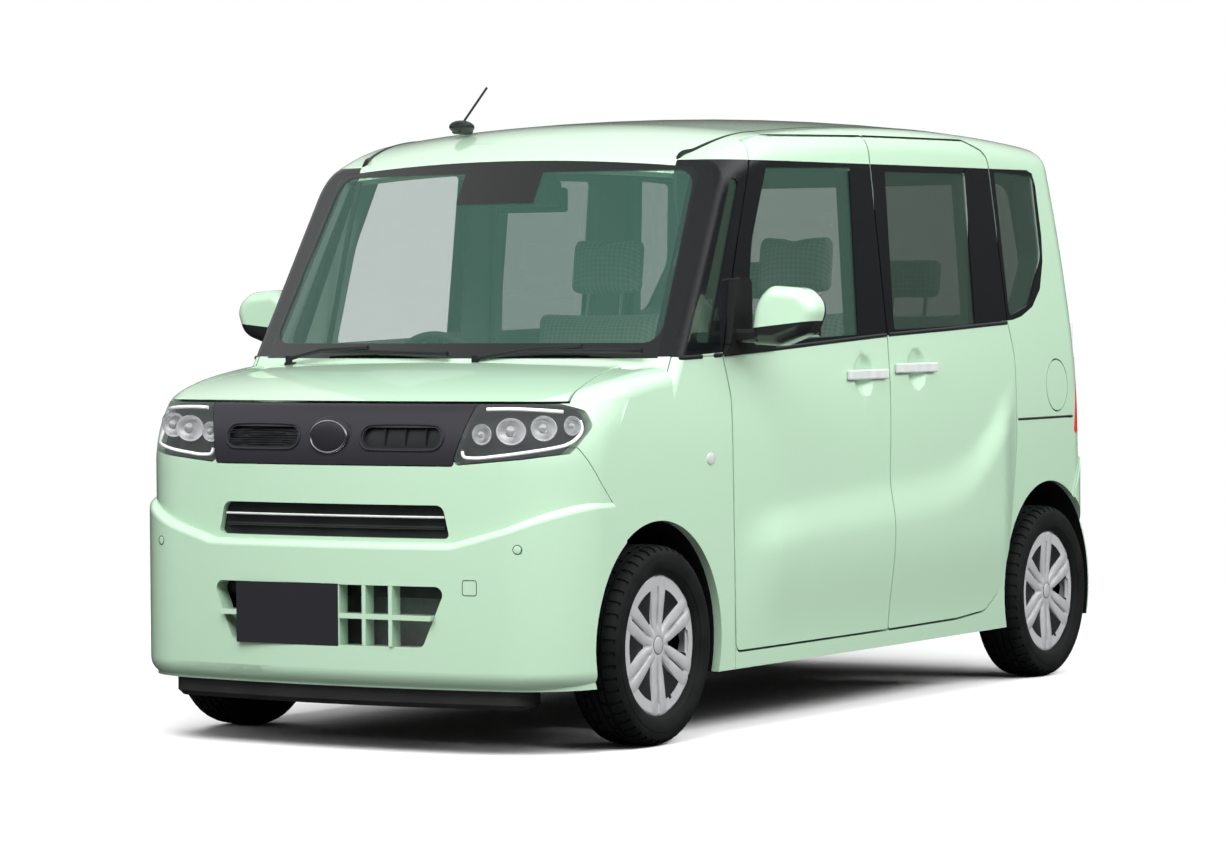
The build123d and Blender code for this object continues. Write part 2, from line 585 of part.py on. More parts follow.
# ---------------------------------------------------------------- rear bumper and lamps
with BuildPart() as rear_bumper:
    add(rear_bumper_solid(0))
    add(rear_bumper_solid(24), mode=Mode.SUBTRACT)
    add(rear_bumper_bar, mode=Mode.INTERSECT)
    add(wells, mode=Mode.SUBTRACT)
    add(bar(FROM_FRONT, TAILGATE, -1800, -1400, GAP / 2), mode=Mode.SUBTRACT)
write(rear_bumper.part, "rear_bumper")

with BuildPart() as tail_lamps:
    add(cabin_block)
    add(tail_lamp_bar, mode=Mode.INTERSECT)
    add(side_core(28).moved(Pos(0, -58, 0)), mode=Mode.SUBTRACT)
    add(bar(FROM_FRONT, TAILGATE, -1800, -1400, GAP / 2), mode=Mode.SUBTRACT)
write(tail_lamps.part, "tail_lamps")

# ---------------------------------------------------------------- wheels and tyres
PLACES = {"front_left": (1, FRONT_AXLE_Y), "front_right": (-1, FRONT_AXLE_Y),
          "rear_left": (1, REAR_AXLE_Y), "rear_right": (-1, REAR_AXLE_Y)}
COVER_R = 196.0
BEAD_R = 190.0


def wheel_plane(side: int, axle_y: float) -> Plane:
    """Across is outwards from the car, up is away from the axle."""
    return Plane(origin=(side * WHEEL_X, axle_y, TYRE_R), x_dir=(side, 0, 0), z_dir=(0, -side, 0))


def cover_lip(plane: Plane, spin: Axis) -> Part:
    """The room that the wheel cover's edge takes in the tyre's side wall."""
    with BuildPart() as room:
        with BuildSketch(plane):
            with BuildLine():
                Polyline((42, 186), (42, 198), (66, 198), (66, 186), (42, 186))
            make_face()
        revolve(axis=spin)
    return room.part


for place, (side, axle_y) in PLACES.items():
    plane = wheel_plane(side, axle_y)
    spin = Axis((0, axle_y, TYRE_R), (1, 0, 0))
    with BuildPart() as tyre:
        with BuildSketch(plane):
            with BuildLine():
                bead = Line((62, BEAD_R + 0.5), (-62, BEAD_R + 0.5))
                inner = ThreePointArc(bead @ 1, (-78, 228), (-70, 258))
                inner_shoulder = Line(inner @ 1, (-56, 270))
                tread = ThreePointArc(inner_shoulder @ 1, (0, TYRE_R), (56, 270))
                outer_shoulder = Line(tread @ 1, (70, 258))
                ThreePointArc(outer_shoulder @ 1, (78, 228), bead @ 0)
            make_face()
        revolve(axis=spin)

    with BuildPart() as wheel:
        with BuildSketch(plane):
            with BuildLine():
                Polyline((-66, 190), (-62, 190), (-58, 172), (-20, 160), (20, 160), (34, 172), (44, 176),
                         (50, COVER_R), (57, 184), (56, 150), (46, 70), (52, 38), (52, 0), (-30, 0),
                         (-30, 40), (-22, 44), (-22, 112), (-8, 112), (-8, 48), (20, 52), (20, 110),
                         (30, 150), (22, 154), (-22, 154), (-62, 166), (-66, 172), (-66, 190))
            make_face()
        revolve(axis=spin)
        face = Plane(origin=(side * (WHEEL_X + 8), axle_y, TYRE_R), x_dir=(0, side, 0), z_dir=(side, 0, 0))
        with BuildSketch(face):
            with PolarLocations(0, 6):
                with BuildLine():
                    FilletPolyline((72, -16), (160, -34), (166, 0), (160, 34), (72, 16), radius=9,
                                   close=True)
                make_face()
            with PolarLocations(0, 6, start_angle=30):
                with Locations((122, 0)):
                    SlotOverall(74, 10)
        extrude(amount=80, mode=Mode.SUBTRACT)
    write(wheel.part, f"wheel_{place}")
    with BuildPart() as seated_tyre:
        add(tyre.part)
        add(cover_lip(plane, spin), mode=Mode.SUBTRACT)
    write(seated_tyre.part, f"tyre_{place}")

# ---------------------------------------------------------------- front suspension and steering
BALL_JOINT = Vector(600, FRONT_AXLE_Y, 185)
STRUT_TOP = Vector(510, FRONT_AXLE_Y + 18, 832)
STRUT_FOOT = Vector(536, FRONT_AXLE_Y, 352)


STRUT = STRUT_TOP - STRUT_FOOT
SPRING_STEPS = [(0.49, 0.51, 58), (0.505, 0.99, 43), (0.55, 0.58, 54), (0.63, 0.66, 54), (0.71, 0.74, 54),
                (0.79, 0.82, 54), (0.87, 0.90, 54), (0.96, 1.0, 58)]
with BuildPart() as knuckle_left:
    add(rod((WHEEL_X - 36, FRONT_AXLE_Y, TYRE_R), (WHEEL_X - 84, FRONT_AXLE_Y, TYRE_R), 40))
    add(rod((586, FRONT_AXLE_Y, TYRE_R - 20), BALL_JOINT, 15))
    add(rod((572, FRONT_AXLE_Y, TYRE_R), STRUT_FOOT + Vector(0, 0, 26), 20))
    add(rod(STRUT_FOOT, STRUT_TOP, 22))
    add(rod((572, FRONT_AXLE_Y, TYRE_R), (560, FRONT_AXLE_Y + 112, 284), 13))
    for near, far, radius in SPRING_STEPS:
        add(rod(STRUT_FOOT + STRUT * near, STRUT_FOOT + STRUT * far, radius))
    add(block((WHEEL_X - 70, FRONT_AXLE_Y + 82, TYRE_R - 40),
              (WHEEL_X - 28, FRONT_AXLE_Y + 132, TYRE_R + 60), 8))
    add(rod((586, FRONT_AXLE_Y, TYRE_R), (596, FRONT_AXLE_Y + 100, TYRE_R + 10), 14))
write(knuckle_left.part, "knuckle_left")

with BuildPart() as knuckle_right:
    add(knuckle_left.part.mirror(Plane.YZ))
write(knuckle_right.part, "knuckle_right")

LOWER_ARM = [(250, -1190, 20), (340, -1190, 30), (600, -1160, 22), (600, -1115, 22), (340, -1010, 30),
             (250, -1010, 20)]
with BuildPart() as front_subframe:
    add(block((-330, -1185, 186), (330, -1020, 236), 14))
    add(both(bar(FROM_ABOVE, LOWER_ARM, 150, 166)))
    add(both(block((262, -1180, 150), (330, -1030, 200))))
    add(both(rod(BALL_JOINT - Vector(0, 0, 35), BALL_JOINT - Vector(0, 0, 12), 20)))
    add(rod((-330, -1052, 262), (330, -1052, 262), 26))
    add(both(rod((320, -1052, 262), (405, -1046, 268), 11)))
write(front_subframe.part, "front_subframe")

TOWER = (510, FRONT_AXLE_Y + 18)
with BuildPart() as front_frame:
    add(both(block((338, -1590, 395), (398, -1041, 480))))
    add(both(block((400, -1200, 640), (600, -1041, 700))))
    with Locations((TOWER[0], TOWER[1], 745), (-TOWER[0], TOWER[1], 745)):
        Cylinder(92, 230)
    with Locations((TOWER[0], TOWER[1], 735), (-TOWER[0], TOWER[1], 735)):
        Cylinder(84, 230, mode=Mode.SUBTRACT)
    add(both(block((398, -1590, 690), (440, -1041, 730))))
    add(block((-470, -1600, 700), (470, -1560, 745)))
    add(block((-430, -1618, 415), (430, -1585, 500)))
    add(block((-420, -1590, 230), (420, -1560, 262)))
    add(both(block((398, -1590, 230), (440, -1560, 745))))
    add(body_shell.part, mode=Mode.SUBTRACT)
write(front_frame.part, "front_frame")

with BuildPart() as radiator:
    add(block((-337.5, -1556, 266), (337.5, -1526, 690), 6))
write(radiator.part, "radiator")

with BuildPart() as engine_block:
    add(block((-300, -1490, 290), (330, -1110, 800), 24))
write(engine_block.part, "engine_block")

# ---------------------------------------------------------------- rear suspension and underside
SPRING_Y, SPRING_X = 1270, 420
with BuildPart() as rear_axle:
    add(both(rod((470, 940, 300), (520, 1200, 268), 28)))
    add(both(rod((520, 1200, 268), (560, REAR_AXLE_Y, TYRE_R), 28)))
    add(both(rod((540, REAR_AXLE_Y, TYRE_R), (WHEEL_X - 36, REAR_AXLE_Y, TYRE_R), 36)))
    add(rod((-500, 1110, 280), (500, 1110, 280), 34))
    add(both(block((SPRING_X - 56, 1130, 246), (SPRING_X + 90, 1320, 262))))
    add(both(rod((430, 940, 300), (506, 940, 300), 38)))
write(rear_axle.part, "rear_axle")

with BuildPart() as rear_springs:
    with Locations([(x, SPRING_Y, z) for x in (SPRING_X, -SPRING_X) for z in range(276, 433, 26)]):
        Torus(44, 8)
    with Locations((SPRING_X, SPRING_Y, 354), (-SPRING_X, SPRING_Y, 354)):
        Cylinder(40, 180)
    add(both(rod((488, 1330, 262.5), (470, 1400, 439), 20)))
write(rear_springs.part, "rear_springs")

with BuildPart() as fuel_tank:
    add(block((-320, 180, 200), (320, 600, 322), 28))
write(fuel_tank.part, "fuel_tank")

with BuildPart() as exhaust:
    with BuildLine():
        FilletPolyline((-140, -1020, 230), (-140, -700, 230), (-400, -420, 230), (-400, 700, 222),
                       (-150, 900, 217), (-150, 1190, 217), (-150, 1440, 290), radius=90)
    with BuildSketch(Plane(origin=(-140, -1020, 230), z_dir=(0, 1, 0))):
        Circle(22)
    sweep()
    add(block((-420, 1400, 236), (60, 1560, 366), 40))
    add(rod((-380, 1540, 262), (-380, 1592, 246), 20))
write(exhaust.part, "exhaust")

FLOOR_LINE = [(-1009, 660), (-880, 345), (640, 345), (716, 470), (1626, 470)]
with BuildPart() as floor_pan:
    side_block(WALL_T, 100, 1000, -1009, 1626)
    with BuildSketch(FROM_LEFT.offset(-800)) as floor_section:
        with BuildLine():
            upper = FLOOR_LINE
            lower = [(y, z - 22) for y, z in reversed(FLOOR_LINE)]
            Polyline(*upper, *lower, upper[0])
        make_face()
    extrude(floor_section.sketch, amount=1600, mode=Mode.INTERSECT)
    add(arch_bar(FRONT_ARCH, 410, 800, 4), mode=Mode.SUBTRACT)
    add(arch_bar(REAR_ARCH, 516, 800, 4), mode=Mode.SUBTRACT)
    for neighbour in (body_shell, rear_bumper):
        add(neighbour.part, mode=Mode.SUBTRACT)
write(floor_pan.part, "floor_pan")

with BuildPart() as arch_liners:
    for arch, near in ((FRONT_ARCH, 412), (REAR_ARCH, 518)):
        add(arch_bar(arch, near, 694, 3.5) - arch_bar(arch, near + 6, 800, -2.5))
    with Locations((0, 0, 178 - 300)):
        Box(1600, 3600, 600, mode=Mode.SUBTRACT)
    with Locations((TOWER[0], TOWER[1], 600), (-TOWER[0], TOWER[1], 600)):
        Cylinder(88, 200, mode=Mode.SUBTRACT)
    with Locations((0, FRONT_AXLE_Y + 60, 240)):
        Box(1000, 260, 200, mode=Mode.SUBTRACT)
    with Locations((0, REAR_AXLE_Y - 90, 240)):
        Box(1200, 480, 200, mode=Mode.SUBTRACT)
    for neighbour in (body_shell, rear_bumper, front_bumper, fenders):
        add(neighbour.part, mode=Mode.SUBTRACT)
write(arch_liners.part, "arch_liners")

AIR_DAM = [(-590, -1604, 60), (0, -1676, 2500), (590, -1604, 60), (560, -1500, 20), (-560, -1500, 20)]
with BuildPart() as air_dam:
    add(bar(FROM_ABOVE, AIR_DAM, 126, 177.5))
    chamfer(air_dam.edges().group_by(Axis.Z)[0], 14)
write(air_dam.part, "air_dam")

# ---------------------------------------------------------------- inside
DASH = [(-1008, 680, 10), (-860, 640, 60), (-760, 700, 60), (-640, 900, 60), (-650, 985, 50),
        (-1008, 1010, 10)]
with BuildPart() as dashboard:
    side_block(WALL_T + 6, 100, 1040, -1009, -400)
    add(bar(FROM_LEFT, DASH, -800, 800), mode=Mode.INTERSECT)
    add(arch_bar(FRONT_ARCH, 410, 800, 4), mode=Mode.SUBTRACT)
    add(rod((-340, -720, 860), (-340, -566, 926), 30))
write(dashboard.part, "dashboard")

STEER_X = -340
STEER_PLANE = Plane(origin=(STEER_X, -540, 945), x_dir=(1, 0, 0), z_dir=(0, 0.88, 0.47))
with BuildPart() as steering_wheel:
    with Locations(STEER_PLANE):
        Torus(178, 14)
    with BuildSketch(STEER_PLANE.offset(-22)):
        RectangleRounded(130, 104, 30)
        with Locations((0, 0)):
            RectangleRounded(350, 34, 10)
        with Locations((0, -90)):
            Rectangle(40, 170)
    extrude(amount=24)
write(steering_wheel.part, "steering_wheel")

SEAT_X = 330
CUSHION = [(-330, 560, 40), (190, 540, 30), (200, 650, 30), (-300, 690, 50)]
BACKREST = [(140, 640, 40), (240, 630, 40), (380, 1190, 40), (285, 1200, 50)]
HEADREST = [(300, 1215, 25), (375, 1210, 25), (400, 1400, 35), (325, 1410, 30)]
SEAT_BASE = [(-230, 346, 10), (160, 346, 10), (160, 538, 10), (-230, 553, 10)]
with BuildPart() as front_seats:
    for rows, half in ((CUSHION, 250), (BACKREST, 245), (HEADREST, 135), (SEAT_BASE, 200)):
        add(both(bar(FROM_LEFT, rows, SEAT_X - half, SEAT_X + half)))
    add(both(rod((SEAT_X - 60, 320, 1180), (SEAT_X - 60, 340, 1230), 7)
             + rod((SEAT_X + 60, 320, 1180), (SEAT_X + 60, 340, 1230), 7)))
write(front_seats.part, "front_seats")

REAR_CUSHION = [(640, 520, 40), (1090, 480, 30), (1100, 640, 30), (660, 690, 50)]
REAR_BACK = [(1060, 640, 30), (1160, 620, 30), (1290, 1180, 40), (1200, 1190, 40)]
REAR_HEAD = [(1215, 1195, 25), (1275, 1190, 25), (1300, 1340, 30), (1235, 1345, 30)]
with BuildPart() as rear_seat:
    add(bar(FROM_LEFT, REAR_CUSHION, -505, 505))
    add(bar(FROM_LEFT, REAR_BACK, -505, 505))
    add(both(bar(FROM_LEFT, REAR_HEAD, 140, 380)))
    add(block((-480, 730, 471), (480, 1080, 530)))
write(rear_seat.part, "rear_seat")

with BuildPart() as inner_mirror:
    add(block((-115, -640, 1455), (115, -612, 1525), 10))
    add(rod((0, -630, 1500), (0, -668, 1560), 8))
    add(block((-95, -735, 1535), (95, -640, 1585), 10))
    add(body_shell.part, mode=Mode.SUBTRACT)
write(inner_mirror.part, "inner_mirror")

# ---------------------------------------------------------------- outside fittings
MIRROR_HEAD = [(764, 1078, 14), (852, 1073, 60), (950, 1108, 60), (976, 1185, 50), (930, 1232, 70),
               (830, 1240, 40), (784, 1205, 100)]
SAIL = [(-767, 1074, 6), (-641, 1071, 4), (-645, 1262, 20), (-722, 1262, 24)]
SAIL_FOOT = [(-790, 1049, 4), (-502, 1060, 4), (-498, 1073, 4), (-770, 1076, 4)]
with BuildPart() as mirror_left:
    add(bar(FROM_FRONT, MIRROR_HEAD, 655, 742))
    fillet(mirror_left.edges().group_by(Axis.Y)[0], 34)
    fillet(mirror_left.edges().group_by(Axis.Y)[-1], 6)
    add(block((706, -738, 1082), (800, -672, 1120), 12))
    add(bar(FROM_LEFT, SAIL, 690, 728) - cabin_block)
    add(bar(FROM_LEFT, SAIL_FOOT, 690, 726) - cabin_block)
    add(cabin_block, mode=Mode.SUBTRACT)
write(mirror_left.part, "door_mirror_left")

with BuildPart() as mirror_right:
    add(mirror_left.part.mirror(Plane.YZ))
write(mirror_right.part, "door_mirror_right")

HANDLE_FACE_X, HANDLE_BACK_X = 737.0, 724.5
with BuildPart() as handle_front:
    add(block((HANDLE_BACK_X, -70, 967), (HANDLE_FACE_X, 176, 996), 5))
    add(block((700, -66, 971), (730, -38, 992)))
    add(block((700, 130, 971), (730, 172, 992)))
    add(cabin_block, mode=Mode.SUBTRACT)
write(handle_front.part, "front_handle_left")

with BuildPart() as handle_front_right:
    add(handle_front.part.mirror(Plane.YZ))
write(handle_front_right.part, "front_handle_right")

with BuildPart() as sliding_handles:
    add(block((HANDLE_BACK_X, 236, 982), (HANDLE_FACE_X, 500, 1011), 5))
    add(block((700, 240, 986), (730, 280, 1007)))
    add(block((700, 456, 986), (730, 496, 1007)))
    add(cabin_block, mode=Mode.SUBTRACT)
    mirror(about=Plane.YZ)
write(sliding_handles.part, "sliding_door_handles")

WIPER_LEFT = [(111, -1112, 1043), (288, -1100, 1070), (440, -1085, 1078)]
WIPER_RIGHT = [(-535, -1083, 1042), (-418, -1094, 1066), (-250, -1103, 1074)]
BLADES = [((281, -1100, 1066), (617, -1062, 1064)), ((-422, -1086, 1066), (28, -1124, 1056))]
with BuildPart() as wipers:
    for run in (WIPER_LEFT, WIPER_RIGHT):
        for start, end in zip(run, run[1:]):
            add(rod(start, end, 6))
        add(rod((run[0][0], run[0][1], run[0][2] - 20), (run[0][0], run[0][1], run[0][2] + 8), 10))
    for start, end in BLADES:
        add(rod(start, end, 7))
    add(block((-547, -1092, 1018), (-523, -1058, 1032), 3))         # the right spindle's bracket on the cowl
    add(body_shell.part, mode=Mode.SUBTRACT)
write(wipers.part, "wipers")

ANTENNA_BASE, ANTENNA_TIP = (-299, -536, 1716), (-299, -395, 1831)
with BuildPart() as antenna:
    add(block((-317, -566, 1690), (-281, -492, 1724), 10))
    add(rod(ANTENNA_BASE, ANTENNA_TIP, 3.5))
    add(cabin_block, mode=Mode.SUBTRACT)
write(antenna.part, "antenna")

with BuildPart() as fuel_lid:
    add(cabin_block)
    add(rod((SIDE_X + 20, LID_Y, LID_Z), (SIDE_X - 60, LID_Y, LID_Z), LID_R), mode=Mode.INTERSECT)
    add(side_core(LID_T), mode=Mode.SUBTRACT)
write(fuel_lid.part, "fuel_lid")

# ---------------------------------------------------------------- grilles and plate
nose_block = nose_solid(0)
with BuildPart() as upper_grille:
    add(bar(FROM_FRONT, UPPER_INTAKE, 1590, 1700, -0.5))
    add(nose_block.moved(Pos(0, 20, 0)), mode=Mode.INTERSECT)
    add(nose_block.moved(Pos(0, 24, 0)), mode=Mode.SUBTRACT)
write(upper_grille.part, "upper_grille")

with BuildPart() as pill_grilles:
    add(both(bar(FROM_FRONT, PILL, 1560, 1700, -0.5)))
    add(nose_block.moved(Pos(0, 14, 0)), mode=Mode.INTERSECT)
    add(nose_block.moved(Pos(0, 20, 0)), mode=Mode.SUBTRACT)
write(pill_grilles.part, "pill_grilles")

with BuildPart() as number_plate:
    add(block((-284, -1697.5, 287), (46, -1694.5, 452)))
    add(block((-230, -1694.5, 330), (-8, -1668, 400)))
write(number_plate.part, "number_plate")

LATTICE_UPS = [-238, 44, 128, 212]
with BuildPart() as lower_lattice:
    with Locations((0, -1675, 368)):
        Box(752, 40, 14)
    with Locations([(x, -1675, 370) for x in LATTICE_UPS]):
        Box(12, 40, 170)
    add(bar(FROM_FRONT, LOWER_INTAKE, 1500, 1800, -0.5), mode=Mode.INTERSECT)
    add(number_plate.part, mode=Mode.SUBTRACT)
write(lower_lattice.part, "lower_lattice")

with BuildPart() as rear_wiper:
    add(rod((0, 1640, 1092), (0, 1686, 1094), 14))
    add(rod((0, 1680, 1092), (-250, 1666, 1150), 6))
    add(rod((-90, 1666, 1150), (-400, 1650, 1150), 6))
    add(tailgate.part, mode=Mode.SUBTRACT)
write(rear_wiper.part, "rear_wiper")
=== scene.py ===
"""Finishes, lamps, trim, cabin and studio for a tall five-door kei wagon.

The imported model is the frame: it faces -Y, its left side is +X, +Z is up, and everything is in metres.
"""

import logging
import math
from dataclasses import dataclass, field
from enum import Enum
from typing import Callable, Iterable, Sequence

import bmesh
import bpy
from mathutils import Matrix, Vector
from mathutils.bvhtree import BVHTree


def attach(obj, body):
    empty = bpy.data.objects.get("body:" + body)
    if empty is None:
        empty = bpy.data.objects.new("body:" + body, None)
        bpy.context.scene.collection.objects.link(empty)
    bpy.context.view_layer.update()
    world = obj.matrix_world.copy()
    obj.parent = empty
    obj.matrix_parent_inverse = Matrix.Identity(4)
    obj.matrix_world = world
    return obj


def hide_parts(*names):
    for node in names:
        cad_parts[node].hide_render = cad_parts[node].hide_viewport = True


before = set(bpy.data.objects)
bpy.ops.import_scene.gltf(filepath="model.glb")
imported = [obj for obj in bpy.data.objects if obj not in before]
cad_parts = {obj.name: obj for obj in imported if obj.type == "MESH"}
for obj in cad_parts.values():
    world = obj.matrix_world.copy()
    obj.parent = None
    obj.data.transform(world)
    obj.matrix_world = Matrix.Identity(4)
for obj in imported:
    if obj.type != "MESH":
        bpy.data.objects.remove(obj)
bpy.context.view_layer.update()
LOG = logging.getLogger("kei_wagon")

Point = tuple[float, float, float]
Pair = tuple[float, float]
Socket = bpy.types.NodeSocket
SIDES = ((1, "left"), (-1, "right"))


# ---------------------------------------------------------------- material graphs
class Graph:
    """A material's node tree, with short ways to add what the finishes need."""

    MIDDLE: Pair = (0.3, 0.7)  # most of a noise pattern lies between these
    MIX_COLOURS: tuple[int, int] = (6, 7)  # a Mix node's two colour inputs
    MIX_RESULT: int = 2  # and its colour output

    def __init__(self, name: str) -> None:
        """Start an empty tree with one Principled shader.

        Args:
            name: The material's name.
        """
        self.material = bpy.data.materials.new(name)
        self.material.use_nodes = True
        self.tree = self.material.node_tree
        self.tree.nodes.clear()
        self.out = self.tree.nodes.new("ShaderNodeOutputMaterial")
        self.shader = self.tree.nodes.new("ShaderNodeBsdfPrincipled")
        self.link(self.shader.outputs["BSDF"], self.out.inputs["Surface"])
        self.coords = self.tree.nodes.new("ShaderNodeTexCoord")

    def link(self, start: Socket, end: Socket) -> None:
        """Join an output to an input."""
        self.tree.links.new(start, end)

    def node(self, kind: str, **settings: object) -> bpy.types.Node:
        """Add a node.

        Args:
            kind: The node's class name without its ShaderNode prefix.
            settings: Attributes to set on it.

        Returns:
            The new node.
        """
        made = self.tree.nodes.new("ShaderNode" + kind)
        for key, value in settings.items():
            setattr(made, key, value)
        return made

    def feed(self, node: bpy.types.Node, index: int | str, value: object) -> None:
        """Link a socket into an input, or set the input to a plain value.

        Args:
            node: The node to feed.
            index: The input's number or name.
            value: A socket or a plain value.
        """
        if isinstance(value, Socket):
            self.link(value, node.inputs[index])
        else:
            node.inputs[index].default_value = value

    def math(self, operation: str, first: object, second: object = 0.0, clamp: bool = False) -> Socket:
        """Combine two numbers.

        Args:
            operation: A Math node operation.
            first: A socket or a number.
            second: A socket or a number.
            clamp: Keep the result from 0 to 1.

        Returns:
            The result's socket.
        """
        made = self.node("Math", operation=operation, use_clamp=clamp)
        self.feed(made, 0, first)
        self.feed(made, 1, second)
        return made.outputs[0]

    def plus(self, first: object, second: object) -> Socket:
        """The sum of two numbers."""
        return self.math("ADD", first, second)

    def minus(self, first: object, second: object) -> Socket:
        """The first number less the second."""
        return self.math("SUBTRACT", first, second)

    def times(self, first: object, second: object) -> Socket:
        """The product of two numbers."""
        return self.math("MULTIPLY", first, second)

    def over(self, first: object, second: object) -> Socket:
        """1 where the first number is the greater, otherwise 0."""
        return self.math("GREATER_THAN", first, second)

    def under(self, first: object, second: object) -> Socket:
        """1 where the first number is the smaller, otherwise 0."""
        return self.math("LESS_THAN", first, second)

    def reach(self, first: Socket, second: Socket) -> Socket:
        """The length of two distances at right angles."""
        return self.math("SQRT", self.plus(self.times(first, first), self.times(second, second)))

    def axes(self) -> tuple[Socket, Socket, Socket]:
        """Split the object's own coordinates.

        Returns:
            The sockets of x, y and z.
        """
        split = self.node("SeparateXYZ")
        self.link(self.coords.outputs["Object"], split.inputs[0])
        return split.outputs[0], split.outputs[1], split.outputs[2]

    def noise(self, scale: float, detail: float = 2.0) -> Socket:
        """A cloudy pattern on object coordinates.

        Args:
            scale: Clouds to a metre.
            detail: Octaves of finer cloud.

        Returns:
            The pattern's socket.
        """
        made = self.node("TexNoise")
        made.inputs["Scale"].default_value = scale
        made.inputs["Detail"].default_value = detail
        self.link(self.coords.outputs["Object"], made.inputs["Vector"])
        return made.outputs["Fac"]

    def cells(self, scale: float, **settings: object) -> Socket:
        """A pattern of cells on object coordinates.

        Args:
            scale: Cells to a metre.
            settings: Attributes of the Voronoi node.

        Returns:
            The socket with the distance to each cell's middle.
        """
        made = self.node("TexVoronoi", **settings)
        made.inputs["Scale"].default_value = scale
        self.link(self.coords.outputs["Object"], made.inputs["Vector"])
        return made.outputs["Distance"]

    def spread(self, fac: Socket, low: float, high: float) -> Socket:
        """Map a pattern's middle range to another.

        Args:
            fac: The pattern.
            low: The result at the low end.
            high: The result at the high end.

        Returns:
            The mapped pattern's socket.
        """
        made = self.node("MapRange")
        self.link(fac, made.inputs["Value"])
        for name, value in zip(("From Min", "From Max", "To Min", "To Max"), (*self.MIDDLE, low, high)):
            made.inputs[name].default_value = value
        return made.outputs[0]

    def mix(self, fac: object, first: object, second: object) -> Socket:
        """Blend two colours.

        Args:
            fac: The second colour's share.
            first: A socket or a colour.
            second: A socket or a colour.

        Returns:
            The blended colour's socket.
        """
        made = self.node("Mix", data_type="RGBA")
        self.feed(made, 0, fac)
        for index, value in zip(self.MIX_COLOURS, (first, second)):
            self.feed(made, index, (*value, 1.0) if isinstance(value, tuple) else value)
        return made.outputs[self.MIX_RESULT]

    def ease(self, value: object, low: float, high: float) -> Socket:
        """A smooth step.

        Args:
            value: A socket or a number.
            low: Where the step starts.
            high: Where it ends.

        Returns:
            The socket of a number that is 0 below low and 1 above high.
        """
        made = self.node("MapRange", interpolation_type="SMOOTHSTEP")
        self.feed(made, "Value", value)
        made.inputs["From Min"].default_value = low
        made.inputs["From Max"].default_value = high
        return made.outputs[0]

    def facing(self, centre: Point) -> Socket:
        """Tell what turns towards a point from what turns away, in the object's own space.

        Args:
            centre: The point.

        Returns:
            The socket of a mask that is 1 where the surface turns towards the point.
        """
        away = self.node("VectorMath", operation="SUBTRACT")
        self.link(self.coords.outputs["Object"], away.inputs[0])
        away.inputs[1].default_value = centre
        dot = self.node("VectorMath", operation="DOT_PRODUCT")
        self.link(away.outputs[0], dot.inputs[0])
        self.link(self.coords.outputs["Normal"], dot.inputs[1])
        return self.under(dot.outputs["Value"], 0.0)

    def bump(self, height: Socket, distance: float, strength: float) -> None:
        """Relief from a height pattern, on the shader's normal.

        Args:
            height: The pattern.
            distance: Its depth in metres.
            strength: How strongly it turns the normal.
        """
        made = self.node("Bump")
        made.inputs["Distance"].default_value = distance
        made.inputs["Strength"].default_value = strength
        self.link(height, made.inputs["Height"])
        self.link(made.outputs["Normal"], self.shader.inputs["Normal"])

    def set(self, **values: object) -> None:
        """Set or link the shader's inputs.

        Args:
            values: A socket, a number or a colour by the input's name, with _ for a space.
        """
        for key, value in values.items():
            plain = (*value, 1.0) if isinstance(value, tuple) else value
            self.feed(self.shader, key.replace("_", " "), plain)


@dataclass(frozen=True)
class Outline:
    """A convex area seen from the side: points of (rearwards, up), in metres, anticlockwise."""

    points: tuple[Pair, ...]

    def mask(self, graph: Graph, along: Socket, up: Socket) -> Socket:
        """Tell the inside of the area from the outside.

        Args:
            graph: The material's graph.
            along: The socket that runs rearwards.
            up: The socket that runs up.

        Returns:
            The socket of a mask that is 1 inside.
        """
        inside: object = None
        for (a, b), (c, d) in zip(self.points, self.points[1:] + self.points[:1]):
            length = math.hypot(c - a, d - b)
            nx, ny = -(d - b) / length, (c - a) / length
            side = graph.minus(graph.plus(graph.times(along, nx), graph.times(up, ny)), nx * a + ny * b)
            inside = side if inside is None else graph.math("MINIMUM", inside, side)
        return graph.over(inside, 0.0)


GLASSHOUSE = Outline((
    (-1.30, 1.034), (-0.79, 1.049), (0.195, 1.094), (1.03, 1.126), (1.15, 1.145), (1.24, 1.175),
    (1.31, 1.232), (1.345, 1.32), (1.35, 1.40), (1.33, 1.56), (1.31, 1.598), (1.27, 1.608),
    (-0.80, 1.592), (-1.30, 1.585)))


# ---------------------------------------------------------------- finishes
@dataclass(frozen=True)
class Finish:
    """A surface that a piece can be given."""

    name: str

    def dress(self, graph: Graph) -> None:
        """Fill the graph's shader."""
        raise NotImplementedError

    def material(self) -> bpy.types.Material:
        """Make the finish's material, or find it where it is made already.

        Returns:
            The material.
        """
        found = bpy.data.materials.get(self.name)
        if found is not None:
            return found
        graph = Graph(self.name)
        self.dress(graph)
        return graph.material

    @staticmethod
    def coated_grain(graph: Graph) -> None:
        """The faint grain of coated metal."""
        graph.bump(graph.noise(420.0), distance=0.00005, strength=0.4)


